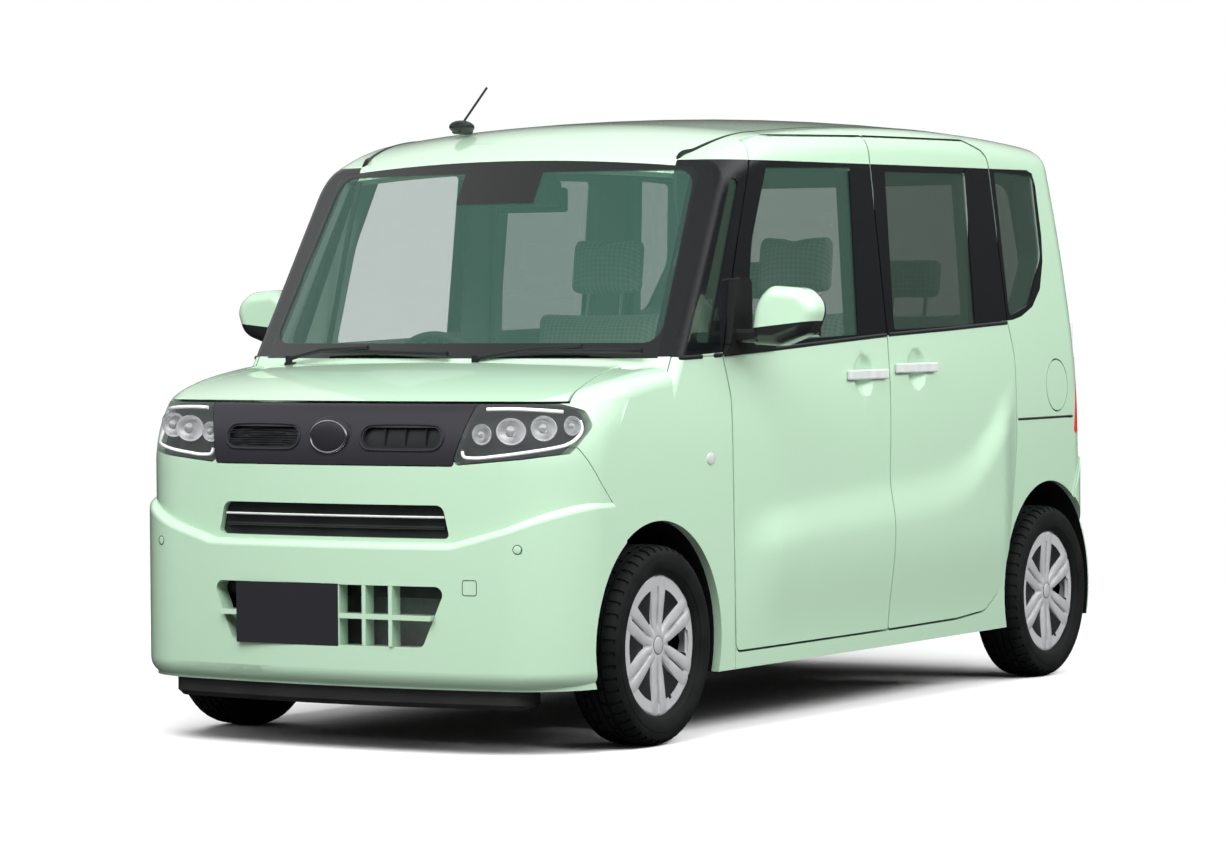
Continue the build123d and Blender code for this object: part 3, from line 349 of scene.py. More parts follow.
@dataclass(frozen=True)
class PearlPaint(Finish):
    """Body paint: fine mica in colour under a clear coat with a trace of orange peel."""

    colour: Point = (0.465, 0.675, 0.49)
    flake: Point = (0.58, 0.77, 0.61)
    flakes: float = 2600.0
    flake_share: float = 0.35
    roughness: float = 0.32
    metallic: float = 0.18
    trim: bool = False
    trim_colour: Point = (0.004, 0.005, 0.006)
    trim_from: float = 0.53
    trim_shine: float = 0.08
    cabin: bool = False
    cabin_colour: Point = (0.24, 0.31, 0.27)
    cabin_centre: Point = (0.0, 0.15, 1.05)
    cabin_to: float = 0.685
    cabin_dull: float = 0.45

    def dress(self, graph: Graph) -> None:
        """Paint, with black round the side glass and pale trim on what faces the cabin.

        Args:
            graph: The material's graph.
        """
        grain = graph.spread(graph.cells(self.flakes), 0.0, self.flake_share)
        base = graph.mix(grain, self.colour, self.flake)
        across, along, up = graph.axes()
        side = graph.math("ABSOLUTE", across)
        rough: object = self.roughness
        metal: object = self.metallic
        coat: object = 1.0
        if self.trim:
            black = graph.times(GLASSHOUSE.mask(graph, along, up), graph.over(side, self.trim_from))
            base = graph.mix(black, base, self.trim_colour)
            rough = graph.minus(self.roughness, graph.times(black, self.trim_shine))
            metal = graph.times(graph.minus(1.0, black), self.metallic)
        if self.cabin:
            inner = graph.times(graph.facing(self.cabin_centre), graph.under(side, self.cabin_to))
            base = graph.mix(inner, base, self.cabin_colour)
            rough = graph.plus(rough, graph.times(inner, self.cabin_dull))
            coat = graph.minus(1.0, inner)
        graph.set(Base_Color=base, Roughness=rough, Metallic=metal, Coat_Weight=coat)
        graph.set(Coat_Roughness=0.03, Coat_IOR=1.5)
        graph.bump(graph.noise(140.0, detail=1.0), distance=0.00004, strength=0.5)

    def base_colour(self, graph: Graph) -> Socket:
        """The paint's colour, for a finish that is painted only in part."""
        return graph.shader.inputs["Base Color"].links[0].from_socket


@dataclass(frozen=True)
class MirrorCase(PearlPaint):
    """A door mirror: body colour over the upper shell, black below, behind and at the foot."""

    black: Point = (0.011, 0.012, 0.012)
    inner: float = 0.776
    split: Point = (0.779, 1.123, 0.102)  # a place across, the split's height there, and its climb
    rim: float = -0.668

    def dress(self, graph: Graph) -> None:
        """Paint above the split line of the case, black elsewhere.

        Args:
            graph: The material's graph.
        """
        super().dress(graph)
        across, along, up = graph.axes()
        side = graph.math("ABSOLUTE", across)
        start, level, climb = self.split
        line = graph.plus(graph.times(graph.minus(side, start), climb), level)
        painted = graph.times(graph.over(side, self.inner), graph.over(up, line))
        painted = graph.times(painted, graph.under(along, self.rim))
        graph.set(Base_Color=graph.mix(painted, self.black, self.base_colour(graph)),
                  Metallic=graph.times(painted, self.metallic))


@dataclass(frozen=True)
class ArchLiner(PearlPaint):
    """Dull black towards the wheel; behind the rear one it closes the bumper's corner in body colour."""

    black: Point = (0.007, 0.007, 0.008)
    dull: float = 0.85
    start: float = 1.600
    axle: Point = (0.0, 1.3225, 0.280)

    def dress(self, graph: Graph) -> None:
        """Black felt-like plastic, paint on what turns away from the rear axle behind it.

        Args:
            graph: The material's graph.
        """
        super().dress(graph)
        _, along, _ = graph.axes()
        painted = graph.times(graph.over(along, self.start), graph.minus(1.0, graph.facing(self.axle)))
        graph.set(Base_Color=graph.mix(painted, self.black, self.base_colour(graph)), Coat_Weight=painted,
                  Metallic=graph.times(painted, self.metallic),
                  Roughness=graph.minus(self.dull, graph.times(painted, self.dull - self.roughness)))


@dataclass(frozen=True)
class Moulded(Finish):
    """Moulded plastic with a fine grain."""

    colour: Point = (0.02, 0.02, 0.021)
    roughness: float = 0.5
    grain: float = 900.0
    depth: float = 0.00012
    coat: float = 0.0
    wear: float = 0.05
    lift: float = 1.35
    haze: float = 0.004

    def dress(self, graph: Graph) -> None:
        """Colour that varies a little, and a leather-like grain.

        Args:
            graph: The material's graph.
        """
        cloud = graph.noise(6.0, detail=3.0)
        shade = tuple(min(1.0, c * self.lift + self.haze) for c in self.colour)
        graph.set(Base_Color=graph.mix(graph.spread(cloud, 0.0, 1.0), self.colour, shade))
        graph.set(Roughness=graph.spread(cloud, self.roughness - self.wear, self.roughness + self.wear))
        graph.set(Coat_Weight=self.coat, Coat_Roughness=0.04)
        graph.bump(graph.cells(self.grain, feature="SMOOTH_F1"), self.depth, strength=0.6)


@dataclass(frozen=True)
class Metal(Finish):
    """Bare, plated or painted metal."""

    colour: Point = (0.6, 0.6, 0.61)
    roughness: float = 0.3
    metallic: float = 1.0
    wear: float = 0.06
    coat: float = 0.0
    shade: float = 0.86

    def dress(self, graph: Graph) -> None:
        """A metal whose roughness and tone drift across it.

        Args:
            graph: The material's graph.
        """
        cloud = graph.noise(28.0, detail=4.0)
        shade = tuple(c * self.shade for c in self.colour)
        low, high = self.roughness - self.wear / 2, self.roughness + self.wear / 2
        graph.set(Base_Color=graph.mix(graph.spread(cloud, 0.0, 1.0), self.colour, shade))
        graph.set(Roughness=graph.spread(cloud, low, high))
        graph.set(Metallic=self.metallic, Coat_Weight=self.coat, Coat_Roughness=0.05)
        self.coated_grain(graph)


@dataclass(frozen=True)
class Glazing(Finish):
    """Sheet glass: dark where light is lost in it, clear where it isn't, and mirror-like at a glance."""

    tint: Point = (0.045, 0.085, 0.066)
    alpha: float = 0.36
    smear: float = 0.9
    head_on: float = 0.04  # the share that a sheet mirrors when looked at squarely
    grazing: float = 5.0  # how late that share rises towards the edge

    def cover(self, graph: Graph, share: object) -> None:
        """Let a share of the surface show, and more of it at a glancing angle.

        Args:
            graph: The material's graph.
            share: The share that shows when looked at squarely, as a socket or a number.
        """
        edge = graph.node("LayerWeight")
        edge.inputs["Blend"].default_value = 0.5
        glance = graph.math("POWER", edge.outputs["Facing"], self.grazing)
        gloss = graph.plus(graph.times(glance, 1.0 - self.head_on), self.head_on)
        rest = graph.minus(1.0, share)
        shown = graph.math("ADD", share, graph.times(rest, gloss), clamp=True)
        graph.set(Alpha=shown, Roughness=0.015, IOR=1.5, Coat_Weight=1.0, Coat_Roughness=0.01)

    def dress(self, graph: Graph) -> None:
        """A tinted sheet."""
        graph.set(Base_Color=graph.mix(graph.noise(3.0), self.tint, tuple(c * self.smear for c in self.tint)))
        self.cover(graph, self.alpha)


@dataclass(frozen=True)
class Screen(Glazing):
    """The windscreen, with its black border and the darker patch for the camera."""

    black: Point = (0.008, 0.009, 0.009)
    middle: float = 1.325
    half: Pair = (0.616, 0.190)  # half the clear window across, and up without its corners
    taper: float = 0.10
    corner: float = 0.05
    eye: Pair = (0.128, 1.478)  # half the camera's patch across, and its foot

    def dress(self, graph: Graph) -> None:
        """Tinted glass inside, baked black round the edge.

        Args:
            graph: The material's graph.
        """
        across, _, up = graph.axes()
        side = graph.math("ABSOLUTE", across)
        # across and up the slope, the clear window is a rounded box
        rise = graph.minus(up, self.middle)
        width = graph.minus(self.half[0], graph.times(rise, self.taper))
        dx = graph.math("MAXIMUM", graph.minus(side, graph.minus(width, self.corner)), 0.0)
        dz = graph.math("MAXIMUM", graph.minus(graph.math("ABSOLUTE", rise), self.half[1]), 0.0)
        edge = graph.over(graph.reach(dx, dz), self.corner)
        patch = graph.times(graph.under(side, self.eye[0]), graph.over(up, self.eye[1]))
        black = graph.math("MAXIMUM", edge, patch)
        graph.set(Base_Color=graph.mix(black, self.tint, self.black))
        self.cover(graph, graph.plus(self.alpha, graph.times(black, 1.0 - self.alpha)))


@dataclass(frozen=True)
class WheelPaint(Finish):
    """A wheel whose outer flange is silver like its cover, and whose disc behind is black."""

    black: Point = (0.010, 0.010, 0.011)
    dusty: Point = (0.016, 0.016, 0.017)
    silver: Point = (0.56, 0.57, 0.58)
    metallic: float = 0.35
    axles: Pair = (-1.1375, 1.3225)
    hub: float = 0.272
    flange: float = 0.153
    face: float = 0.672

    def dress(self, graph: Graph) -> None:
        """Satin black steel, silver beyond a radius on the outer face.

        Args:
            graph: The material's graph.
        """
        across, along, up = graph.axes()
        front, rear = (graph.math("ABSOLUTE", graph.minus(along, axle)) for axle in self.axles)
        radius = graph.reach(graph.math("MINIMUM", front, rear), graph.minus(up, self.hub))
        silver = graph.times(graph.over(radius, self.flange),
                             graph.over(graph.math("ABSOLUTE", across), self.face))
        cloud = graph.noise(40.0, detail=3.0)
        black = graph.mix(graph.spread(cloud, 0.0, 1.0), self.black, self.dusty)
        graph.set(Base_Color=graph.mix(silver, black, self.silver))
        graph.set(Metallic=graph.times(silver, self.metallic))
        graph.set(Roughness=graph.spread(cloud, low=0.36, high=0.46))
        self.coated_grain(graph)


@dataclass(frozen=True)
class Rubber(Finish):
    """Tyre rubber: dull black with a bloom and a fine grain."""

    colour: Point = (0.006, 0.007, 0.007)
    bloom: Point = (0.011, 0.012, 0.012)

    def dress(self, graph: Graph) -> None:
        """Black with a faint bloom.

        Args:
            graph: The material's graph.
        """
        cloud = graph.noise(14.0, detail=5.0)
        graph.set(Base_Color=graph.mix(graph.spread(cloud, 0.0, 1.0), self.colour, self.bloom))
        graph.set(Roughness=graph.spread(cloud, low=0.58, high=0.74), Specular_IOR_Level=0.3)
        graph.bump(graph.noise(700.0), distance=0.0002, strength=0.5)


@dataclass(frozen=True)
class SeatCloth(Finish):
    """Pale grey-green cloth with a diamond weave."""

    colour: Point = (0.30, 0.36, 0.31)
    pale: Point = (0.46, 0.52, 0.46)
    thread: Point = (0.2, 0.23, 0.2)
    pitch: float = 0.016
    contrast: float = 0.75
    thread_share: float = 0.25
    weave_relief: float = 0.5

    def dress(self, graph: Graph) -> None:
        """Two tones in diamonds, threads in the bump, and a soft sheen.

        Args:
            graph: The material's graph.
        """
        step = math.pi / self.pitch
        across, along, up = graph.axes()
        down = graph.plus(along, up)
        lines = (graph.plus(across, graph.times(down, sign)) for sign in (1.0, -1.0))
        first, second = (graph.math("SINE", graph.times(line, step)) for line in lines)
        weave = graph.times(first, second)
        thread = graph.noise(1400.0)
        base = graph.mix(graph.times(graph.over(weave, 0.0), self.contrast), self.colour, self.pale)
        graph.set(Base_Color=graph.mix(graph.times(thread, self.thread_share), base, self.thread))
        graph.set(Roughness=0.9, Sheen_Weight=0.35, Sheen_Roughness=0.5)
        relief = graph.plus(graph.times(weave, self.weave_relief), thread)
        graph.bump(relief, distance=0.0006, strength=0.8)


class Look(Enum):
    """The finishes of this car."""

    PAINT = PearlPaint("mint_pearl")
    SIDE_PAINT = PearlPaint("mint_pearl_side", trim=True, cabin=True)
    SHELL_PAINT = PearlPaint("mint_pearl_shell", trim=True, cabin=True)
    MIRROR_CASE = MirrorCase("mirror_case")
    GLOSS_BLACK = Moulded("gloss_black", (0.004, 0.006, 0.006), 0.16, 300.0, 0.00001, 0.4)
    BLACK = Moulded("grained_black")
    SATIN_BLACK = Moulded("satin_black", (0.008, 0.009, 0.010), 0.36, 500.0, 0.00003)
    LINER = ArchLiner("liner_black")
    CHASSIS = Metal("chassis_coat", (0.03, 0.03, 0.032), 0.55, 0.0)
    CAST = Metal("cast_iron", (0.13, 0.125, 0.12), 0.6, 0.7)
    ALLOY = Metal("dull_alloy", (0.42, 0.43, 0.44), 0.5, 0.8)
    STEEL = Metal("exhaust_steel", (0.36, 0.34, 0.31), 0.42, 1.0)
    SILVER = Metal("wheel_silver", (0.60, 0.61, 0.62), 0.34, 0.35, 0.04, 0.6)
    CHROME = Metal("chrome", (0.88, 0.89, 0.90), 0.12, 0.50, 0.02)
    SATIN = Metal("satin_silver", (0.74, 0.77, 0.75), 0.30, 0.30, 0.03)
    GLASS = Glazing("side_glass", (0.09, 0.18, 0.14), 0.16)
    DARK_GLASS = Glazing("privacy_glass", (0.036, 0.064, 0.048), 0.52)
    SCREEN = Screen("windscreen_glass", (0.08, 0.19, 0.15), 0.14)
    LENS = Glazing("lamp_lens", (0.4, 0.43, 0.44), 0.05)
    RIM_BLACK = WheelPaint("wheel_black")
    LAMP_DARK = Moulded("lamp_dark", (0.012, 0.012, 0.013), 0.28, 200.0, 0.00002, 0.5)
    LIGHT_GUIDE = Moulded("light_guide", (0.86, 0.88, 0.88), 0.25, 60.0, 0.0001, 0.6)
    REFLECTOR = Metal("lamp_reflector", (0.85, 0.86, 0.87), 0.16, 0.60, 0.04)
    LAMP_EYE = Metal("lamp_eye", (0.75, 0.77, 0.78), 0.05, 0.70, 0.02, 1.0)
    RED = Moulded("red_lens", (0.42, 0.008, 0.01), 0.12, 90.0, 0.0003, 1.0)
    TYRE = Rubber("tyre_rubber")
    CLOTH = SeatCloth("seat_cloth")
    TRIM = Moulded("cabin_trim", (0.24, 0.31, 0.27), 0.7, 700.0, 0.0002)
    DASH = Moulded("dash_trim", (0.030, 0.048, 0.040), 0.6, 600.0, 0.0002)


CAD_LOOKS: dict[Look, tuple[str, ...]] = {
    Look.PAINT: ("bonnet", "fenders", "front_bumper", "rear_bumper", "fuel_lid", "lower_lattice"),
    Look.SHELL_PAINT: ("body_shell", "tailgate"),
    Look.SIDE_PAINT: ("door_front_left", "door_front_right", "sliding_doors"),
    Look.GLOSS_BLACK: ("grille_panel", "number_plate"),
    Look.MIRROR_CASE: ("door_mirror_left", "door_mirror_right"),
    Look.SATIN_BLACK: ("wipers", "rear_wiper", "antenna", "upper_grille", "pill_grilles", "inner_mirror"),
    Look.LINER: ("arch_liners",),
    Look.BLACK: ("air_dam", "fuel_tank", "steering_wheel"),
    Look.CHASSIS: ("floor_pan", "front_subframe", "front_frame", "rear_axle", "rear_springs"),
    Look.CAST: ("knuckle_left", "knuckle_right"),
    Look.ALLOY: ("engine_block", "radiator"),
    Look.STEEL: ("exhaust",),
    Look.RIM_BLACK: tuple(f"wheel_{end}_{side}" for end in ("front", "rear") for side in ("left", "right")),
    Look.TYRE: tuple(f"tyre_{end}_{side}" for end in ("front", "rear") for side in ("left", "right")),
    Look.SATIN: ("front_handle_left", "front_handle_right", "sliding_door_handles"),
    Look.GLASS: ("front_door_glass_left", "front_door_glass_right"),
    Look.DARK_GLASS: ("sliding_door_glass", "quarter_glass", "tailgate_glass"),
    Look.SCREEN: ("windscreen",),
    Look.LENS: ("headlamps",),
    Look.RED: ("tail_lamps",),
    Look.DASH: ("dashboard",),
    Look.CLOTH: ("front_seats", "rear_seat"),
}


@dataclass
class FrameFinishes:
    """The finishes of every piece that comes with the frame."""

    looks: dict[Look, tuple[str, ...]] = field(default_factory=lambda: dict(CAD_LOOKS))

    def build(self) -> None:
        """Put each look on its nodes."""
        for look, nodes in self.looks.items():
            made = look.value.material()
            for name in nodes:
                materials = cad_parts[name].data.materials
                materials.clear()
                materials.append(made)
            LOG.info("%s on %s", look.value.name, ", ".join(nodes))


# ---------------------------------------------------------------- modelling with Blender's own operators
class Bench:
    """Short ways to model by operators; a finished piece's object is at the origin, unturned and unscaled."""

    SHARP = math.radians(35)  # an edge is rounded where it is sharper than this
    MERGE = 0.00002  # a frame node's loose triangles are joined within this

    @staticmethod
    def clear() -> None:
        """Deselect everything, in object mode."""
        if bpy.context.object is not None and bpy.context.object.mode != "OBJECT":
            bpy.ops.object.mode_set(mode="OBJECT")
        bpy.ops.object.select_all(action="DESELECT")

    @staticmethod
    def take(obj: bpy.types.Object) -> None:
        """Leave one object selected and active, in object mode.

        Args:
            obj: The object.
        """
        Bench.clear()
        obj.select_set(True)
        bpy.context.view_layer.objects.active = obj

    @staticmethod
    def fresh(name: str, data: bpy.types.ID) -> bpy.types.Object:
        """Put data into the scene as a new object.

        Args:
            name: The object's name.
            data: A mesh, a curve, a lamp or a camera.

        Returns:
            The new object.
        """
        obj = bpy.data.objects.new(name, data)
        bpy.context.scene.collection.objects.link(obj)
        return obj

    @staticmethod
    def place(obj: bpy.types.Object, name: str) -> bpy.types.Object:
        """Name a new object and put its place into its mesh.

        Args:
            obj: The object.
            name: Its name.

        Returns:
            The object.
        """
        obj.name = name
        Bench.take(obj)
        bpy.ops.object.transform_apply(location=True, rotation=True, scale=True)
        return obj

    @staticmethod
    def modify(obj: bpy.types.Object, kind: str, **settings: object) -> bpy.types.Object:
        """Add a modifier and apply it at once.

        Args:
            obj: The piece.
            kind: The modifier's type.
            settings: Its attributes.

        Returns:
            The piece.
        """
        Bench.take(obj)
        made = obj.modifiers.new(kind.lower(), kind)
        for key, value in settings.items():
            setattr(made, key, value)
        bpy.ops.object.modifier_apply(modifier=made.name)
        return obj

    @staticmethod
    def soften(obj: bpy.types.Object, width: float, segments: int = 3,
               sharp: float = SHARP) -> bpy.types.Object:
        """Round every edge sharper than an angle in radians."""
        return Bench.modify(obj, "BEVEL", width=width, segments=segments, limit_method="ANGLE",
                            angle_limit=sharp)

    @staticmethod
    def block(name: str, low: Point, high: Point, round_off: float = 0.0,
              segments: int = 3) -> bpy.types.Object:
        """A block between two corners with its edges rounded.

        Args:
            name: The piece's name.
            low: Its lowest corner.
            high: Its highest corner.
            round_off: Width of the rounded edges, or 0 for sharp ones.
            segments: Steps in the rounding.

        Returns:
            The new piece.
        """
        Bench.clear()
        centre = [(a + b) / 2 for a, b in zip(low, high)]
        bpy.ops.mesh.primitive_cube_add(size=1.0, location=centre)
        obj = bpy.context.object
        obj.scale = [b - a for a, b in zip(low, high)]
        Bench.place(obj, name)
        return Bench.soften(obj, round_off, segments) if round_off else obj

    @staticmethod
    def drum(name: str, start: Point, end: Point, radius: float, sides: int = 40,
             round_off: float = 0.0) -> bpy.types.Object:
        """A round bar.

        Args:
            name: The piece's name.
            start: The middle of one end.
            end: The middle of the other.
            radius: Its radius.
            sides: Its facets.
            round_off: Width of the rounded edges, or 0 for sharp ones.

        Returns:
            The new piece.
        """
        Bench.clear()
        a, b = Vector(start), Vector(end)
        bpy.ops.mesh.primitive_cylinder_add(vertices=sides, radius=radius, depth=(b - a).length,
                                            location=(a + b) / 2)
        obj = bpy.context.object
        obj.rotation_euler = (b - a).to_track_quat("Z", "Y").to_euler()
        Bench.place(obj, name)
        return Bench.soften(obj, round_off) if round_off else obj

    @staticmethod
    def dome(name: str, centre: Point, radii: Point) -> bpy.types.Object:
        """A ball stretched to three radii.

        Args:
            name: The piece's name.
            centre: Its middle.
            radii: Its radii along x, y and z.

        Returns:
            The new piece.
        """
        Bench.clear()
        bpy.ops.mesh.primitive_uv_sphere_add(segments=40, ring_count=20, radius=1.0, location=centre)
        obj = bpy.context.object
        obj.scale = radii
        return Bench.place(obj, name)

    @staticmethod
    def ring(name: str, centre: Point, radii: Pair, minor: float, turn: Point) -> bpy.types.Object:
        """An oval ring of round section.

        Args:
            name: The piece's name.
            centre: Its middle.
            radii: The oval's two radii.
            minor: The section's radius.
            turn: The Euler angles that give its plane.

        Returns:
            The new piece.
        """
        Bench.clear()
        bpy.ops.mesh.primitive_torus_add(major_segments=64, minor_segments=12, major_radius=radii[0],
                                         minor_radius=minor, location=centre, rotation=turn)
        obj = bpy.context.object
        obj.scale = (1.0, radii[1] / radii[0], 1.0)
        return Bench.place(obj, name)

    @staticmethod
    def tube(name: str, points: Sequence[Point], radius: float | Sequence[float], closed: bool = False,
             smooth: bool = True) -> bpy.types.Object:
        """A round tube along points, as a mesh.

        Args:
            name: The piece's name.
            points: Points that it passes, in metres.
            radius: One radius, or one for each point.
            closed: Join the last point to the first.
            smooth: Run smoothly through the points.

        Returns:
            The new piece.
        """
        Bench.clear()
        data = bpy.data.curves.new(name, "CURVE")
        data.dimensions = "3D"
        widths = list(radius) if isinstance(radius, (list, tuple)) else [radius] * len(points)
        data.bevel_depth = max(widths)
        data.bevel_resolution = 4
        data.use_fill_caps = True
        line = data.splines.new("BEZIER" if smooth else "POLY")
        rows = line.bezier_points if smooth else line.points
        rows.add(len(points) - 1)
        for row, point, width in zip(rows, points, widths):
            row.co = point if smooth else (*point, 1.0)
            row.radius = width / data.bevel_depth
            if smooth:
                row.handle_left_type = row.handle_right_type = "AUTO"
        line.use_cyclic_u = closed
        line.resolution_u = 8
        Bench.take(Bench.fresh(name, data))
        bpy.ops.object.convert(target="MESH")
        obj = bpy.context.object
        obj.name = name
        return obj

    @staticmethod
    def edit(obj: bpy.types.Object, mode: str = "FACE", everything: bool = False) -> None:
        """Enter edit mode with all of a piece selected, or with nothing.

        Args:
            obj: The piece.
            mode: VERT or FACE.
            everything: Select all of it.
        """
        Bench.take(obj)
        bpy.ops.object.mode_set(mode="EDIT")
        bpy.ops.mesh.select_mode(type=mode)
        bpy.ops.mesh.select_all(action="SELECT" if everything else "DESELECT")

    @staticmethod
    def done() -> None:
        """Leave edit mode."""
        bpy.ops.object.mode_set(mode="OBJECT")

    @staticmethod
    def pick_faces(obj: bpy.types.Object, test: Callable[[Vector, Vector], bool]) -> None:
        """Select the faces that pass a test, in edit mode.

        Args:
            obj: The piece, in edit mode.
            test: Takes a face's centre and normal.
        """
        mesh = bmesh.from_edit_mesh(obj.data)
        for face in mesh.faces:
            if test(face.calc_center_median(), face.normal):
                face.select_set(True)
        bmesh.update_edit_mesh(obj.data)

    @staticmethod
    def recess(obj: bpy.types.Object, outward: Point, rim: float, depth: float, square: float = 0.95) -> None:
        """Sink the faces that look one way and leave a rim round them.

        Args:
            obj: The piece.
            outward: The direction that they look in.
            rim: The rim's width.
            depth: How far they go in.
            square: The least cosine to that direction.
        """
        out = Vector(outward)
        Bench.edit(obj)
        Bench.pick_faces(obj, lambda centre, normal: normal.dot(out) > square)
        bpy.ops.mesh.inset(thickness=rim, use_even_offset=True)
        bpy.ops.mesh.extrude_region_move(TRANSFORM_OT_translate={"value": tuple(out * -depth)})
        Bench.done()

    @staticmethod
    def copy_of(node: str, name: str) -> bpy.types.Object:
        """Copy a frame node's mesh as a piece of its own, its loose triangles merged.

        Args:
            node: The frame node.
            name: The piece's name.

        Returns:
            The new piece, without a material.
        """
        obj = Bench.fresh(name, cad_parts[node].data.copy())
        obj.data.materials.clear()
        Bench.edit(obj, "VERT", everything=True)
        bpy.ops.mesh.remove_doubles(threshold=Bench.MERGE)
        Bench.done()
        return obj

    @staticmethod
    def slice_off(obj: bpy.types.Object, point: Point, normal: Point) -> None:
        """Cut away part of a piece.

        Args:
            obj: The piece.
            point: A point of the cut.
            normal: Points to what is cut away.
        """
        Bench.edit(obj, "VERT", everything=True)
        bpy.ops.mesh.bisect(plane_co=point, plane_no=normal, clear_outer=True)
        Bench.done()

    @staticmethod
    def mirrored(obj: bpy.types.Object, name: str) -> bpy.types.Object:
        """Copy a piece to the other side of the car.

        Args:
            obj: The piece.
            name: The copy's name.

        Returns:
            The copy, with its own mesh and its faces outwards.
        """
        twin = Bench.fresh(name, obj.data.copy())
        twin.scale = (-1.0, 1.0, 1.0)
        Bench.place(twin, name)
        mesh = bmesh.new()
        mesh.from_mesh(twin.data)
        if mesh.calc_volume(signed=True) < 0:
            bmesh.ops.reverse_faces(mesh, faces=mesh.faces)
        mesh.to_mesh(twin.data)
        mesh.free()
        return twin

    @staticmethod
    def join(name: str, parts: Sequence[bpy.types.Object]) -> bpy.types.Object:
        """Join pieces into one object.

        Args:
            name: The joined piece's name.
            parts: The pieces.

        Returns:
            The joined piece.
        """
        Bench.take(parts[0])
        for part in parts:
            part.select_set(True)
        bpy.ops.object.join()
        joined = bpy.context.object
        joined.name = name
        return joined

    @staticmethod
    def settle(obj: bpy.types.Object, look: Look, body: str = "body", replaced: Iterable[str] = (),
               angle: float = 40.0) -> bpy.types.Object:
        """Give a finished piece its look and body.

        Args:
            obj: The piece.
            look: Its finish.
            body: The frame body that it moves with.
            replaced: Frame nodes that it stands for.
            angle: Edges sharper than this stay sharp, in degrees.

        Returns:
            The piece.
        """
        Bench.take(obj)
        bpy.ops.object.transform_apply(location=True, rotation=True, scale=True)
        bpy.ops.object.shade_smooth_by_angle(angle=math.radians(angle))
        if not obj.data.materials:
            obj.data.materials.append(look.value.material())
        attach(obj, body)
        if replaced:
            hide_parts(*replaced)
        LOG.info("%s (%d faces)", obj.name, len(obj.data.polygons))
        return obj


class Skin:
    """Finds points on the outside of named frame nodes, so that trim sits on what carries it."""

    FAR = 3.0  # rays start this far from the car's middle

    def __init__(self, *nodes: str) -> None:
        """Collect the nodes' triangles.

        Args:
            nodes: The frame nodes that carry the trim.
        """
        points: list[Vector] = []
        faces: list[tuple[int, ...]] = []
        for name in nodes:
            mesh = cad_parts[name].data
            start = len(points)
            points.extend(v.co.copy() for v in mesh.vertices)
            faces.extend(tuple(start + i for i in p.vertices) for p in mesh.polygons)
        self.tree = BVHTree.FromPolygons(points, faces)

    def hit(self, origin: Point, towards: Point, proud: float = 0.0) -> Vector:
        """The first point that a ray meets, moved back by proud.

        Args:
            origin: Where the ray starts.
            towards: Its direction.
            proud: Distance back along the ray.

        Returns:
            The point, or the one nearest to a place on the ray where nothing is met.
        """
        ray = Vector(towards).normalized()
        place, _, _, _ = self.tree.ray_cast(Vector(origin), ray)
        if place is None:
            place, _, _, _ = self.tree.find_nearest(Vector(origin) + ray * 2.0)
        return place - ray * proud

    def front(self, x: float, z: float, proud: float = 0.0) -> Vector:
        """The nose at (x, z)."""
        return self.hit((x, -self.FAR, z), (0, 1, 0), proud)

    def rear(self, x: float, z: float, proud: float = 0.0) -> Vector:
        """The tail at (x, z)."""
        return self.hit((x, self.FAR, z), (0, -1, 0), proud)

    def side(self, y: float, z: float, proud: float = 0.0, side: int = 1) -> Vector:
        """The left side at (y, z), or the right one where side is -1."""
        return self.hit((side * 2.0, y, z), (-side, 0, 0), proud)

    def above(self, x: float, y: float, proud: float = 0.0) -> Vector:
        """The top at (x, y)."""
        return self.hit((x, y, self.FAR), (0, 0, -1), proud)


def moved(corners: tuple[Point, Point], x: float = 0.0, y: float = 0.0, z: float = 0.0) -> list[Point]:
    """A block's two corners, moved."""
    return [(corner[0] + x, corner[1] + y, corner[2] + z) for corner in corners]


# ---------------------------------------------------------------- pressed panels
def ease(value: float, start: float, end: float) -> float:
    """A smooth step: 0 at start, 1 at end."""
    share = min(1.0, max(0.0, (value - start) / (end - start)))
    return share * share * (3.0 - 2.0 * share)


def follow(points: Sequence[Pair], value: float) -> float:
    """The height of a line of points at a place along it, rounded a little at its corners.

    Args:
        points: Places with their heights, in order.
        value: The place.

    Returns:
        The height, as the mean of five places round it.
    """
    total, steps = 0.0, (-0.06, -0.03, 0.0, 0.03, 0.06)
    for step in steps:
        place = min(max(value + step, points[0][0]), points[-1][0])
        for (a, b), (c, d) in zip(points, points[1:]):
            if a <= place <= c:
                total += b + (d - b) * (place - a) / (c - a)
                break
    return total / len(steps)


def levels(low: float, high: float, step: float) -> list[float]:
    """Evenly spaced levels from low to high, about a step apart."""
    count = round((high - low) / step)
    return [low + (high - low) * index / count for index in range(count + 1)]


@dataclass(frozen=True)
class Panel:
    """A panel that is pressed: its node and body, and how high and along what stretch it is cut finer."""

    node: str
    body: str
    highest: float
    columns: Point


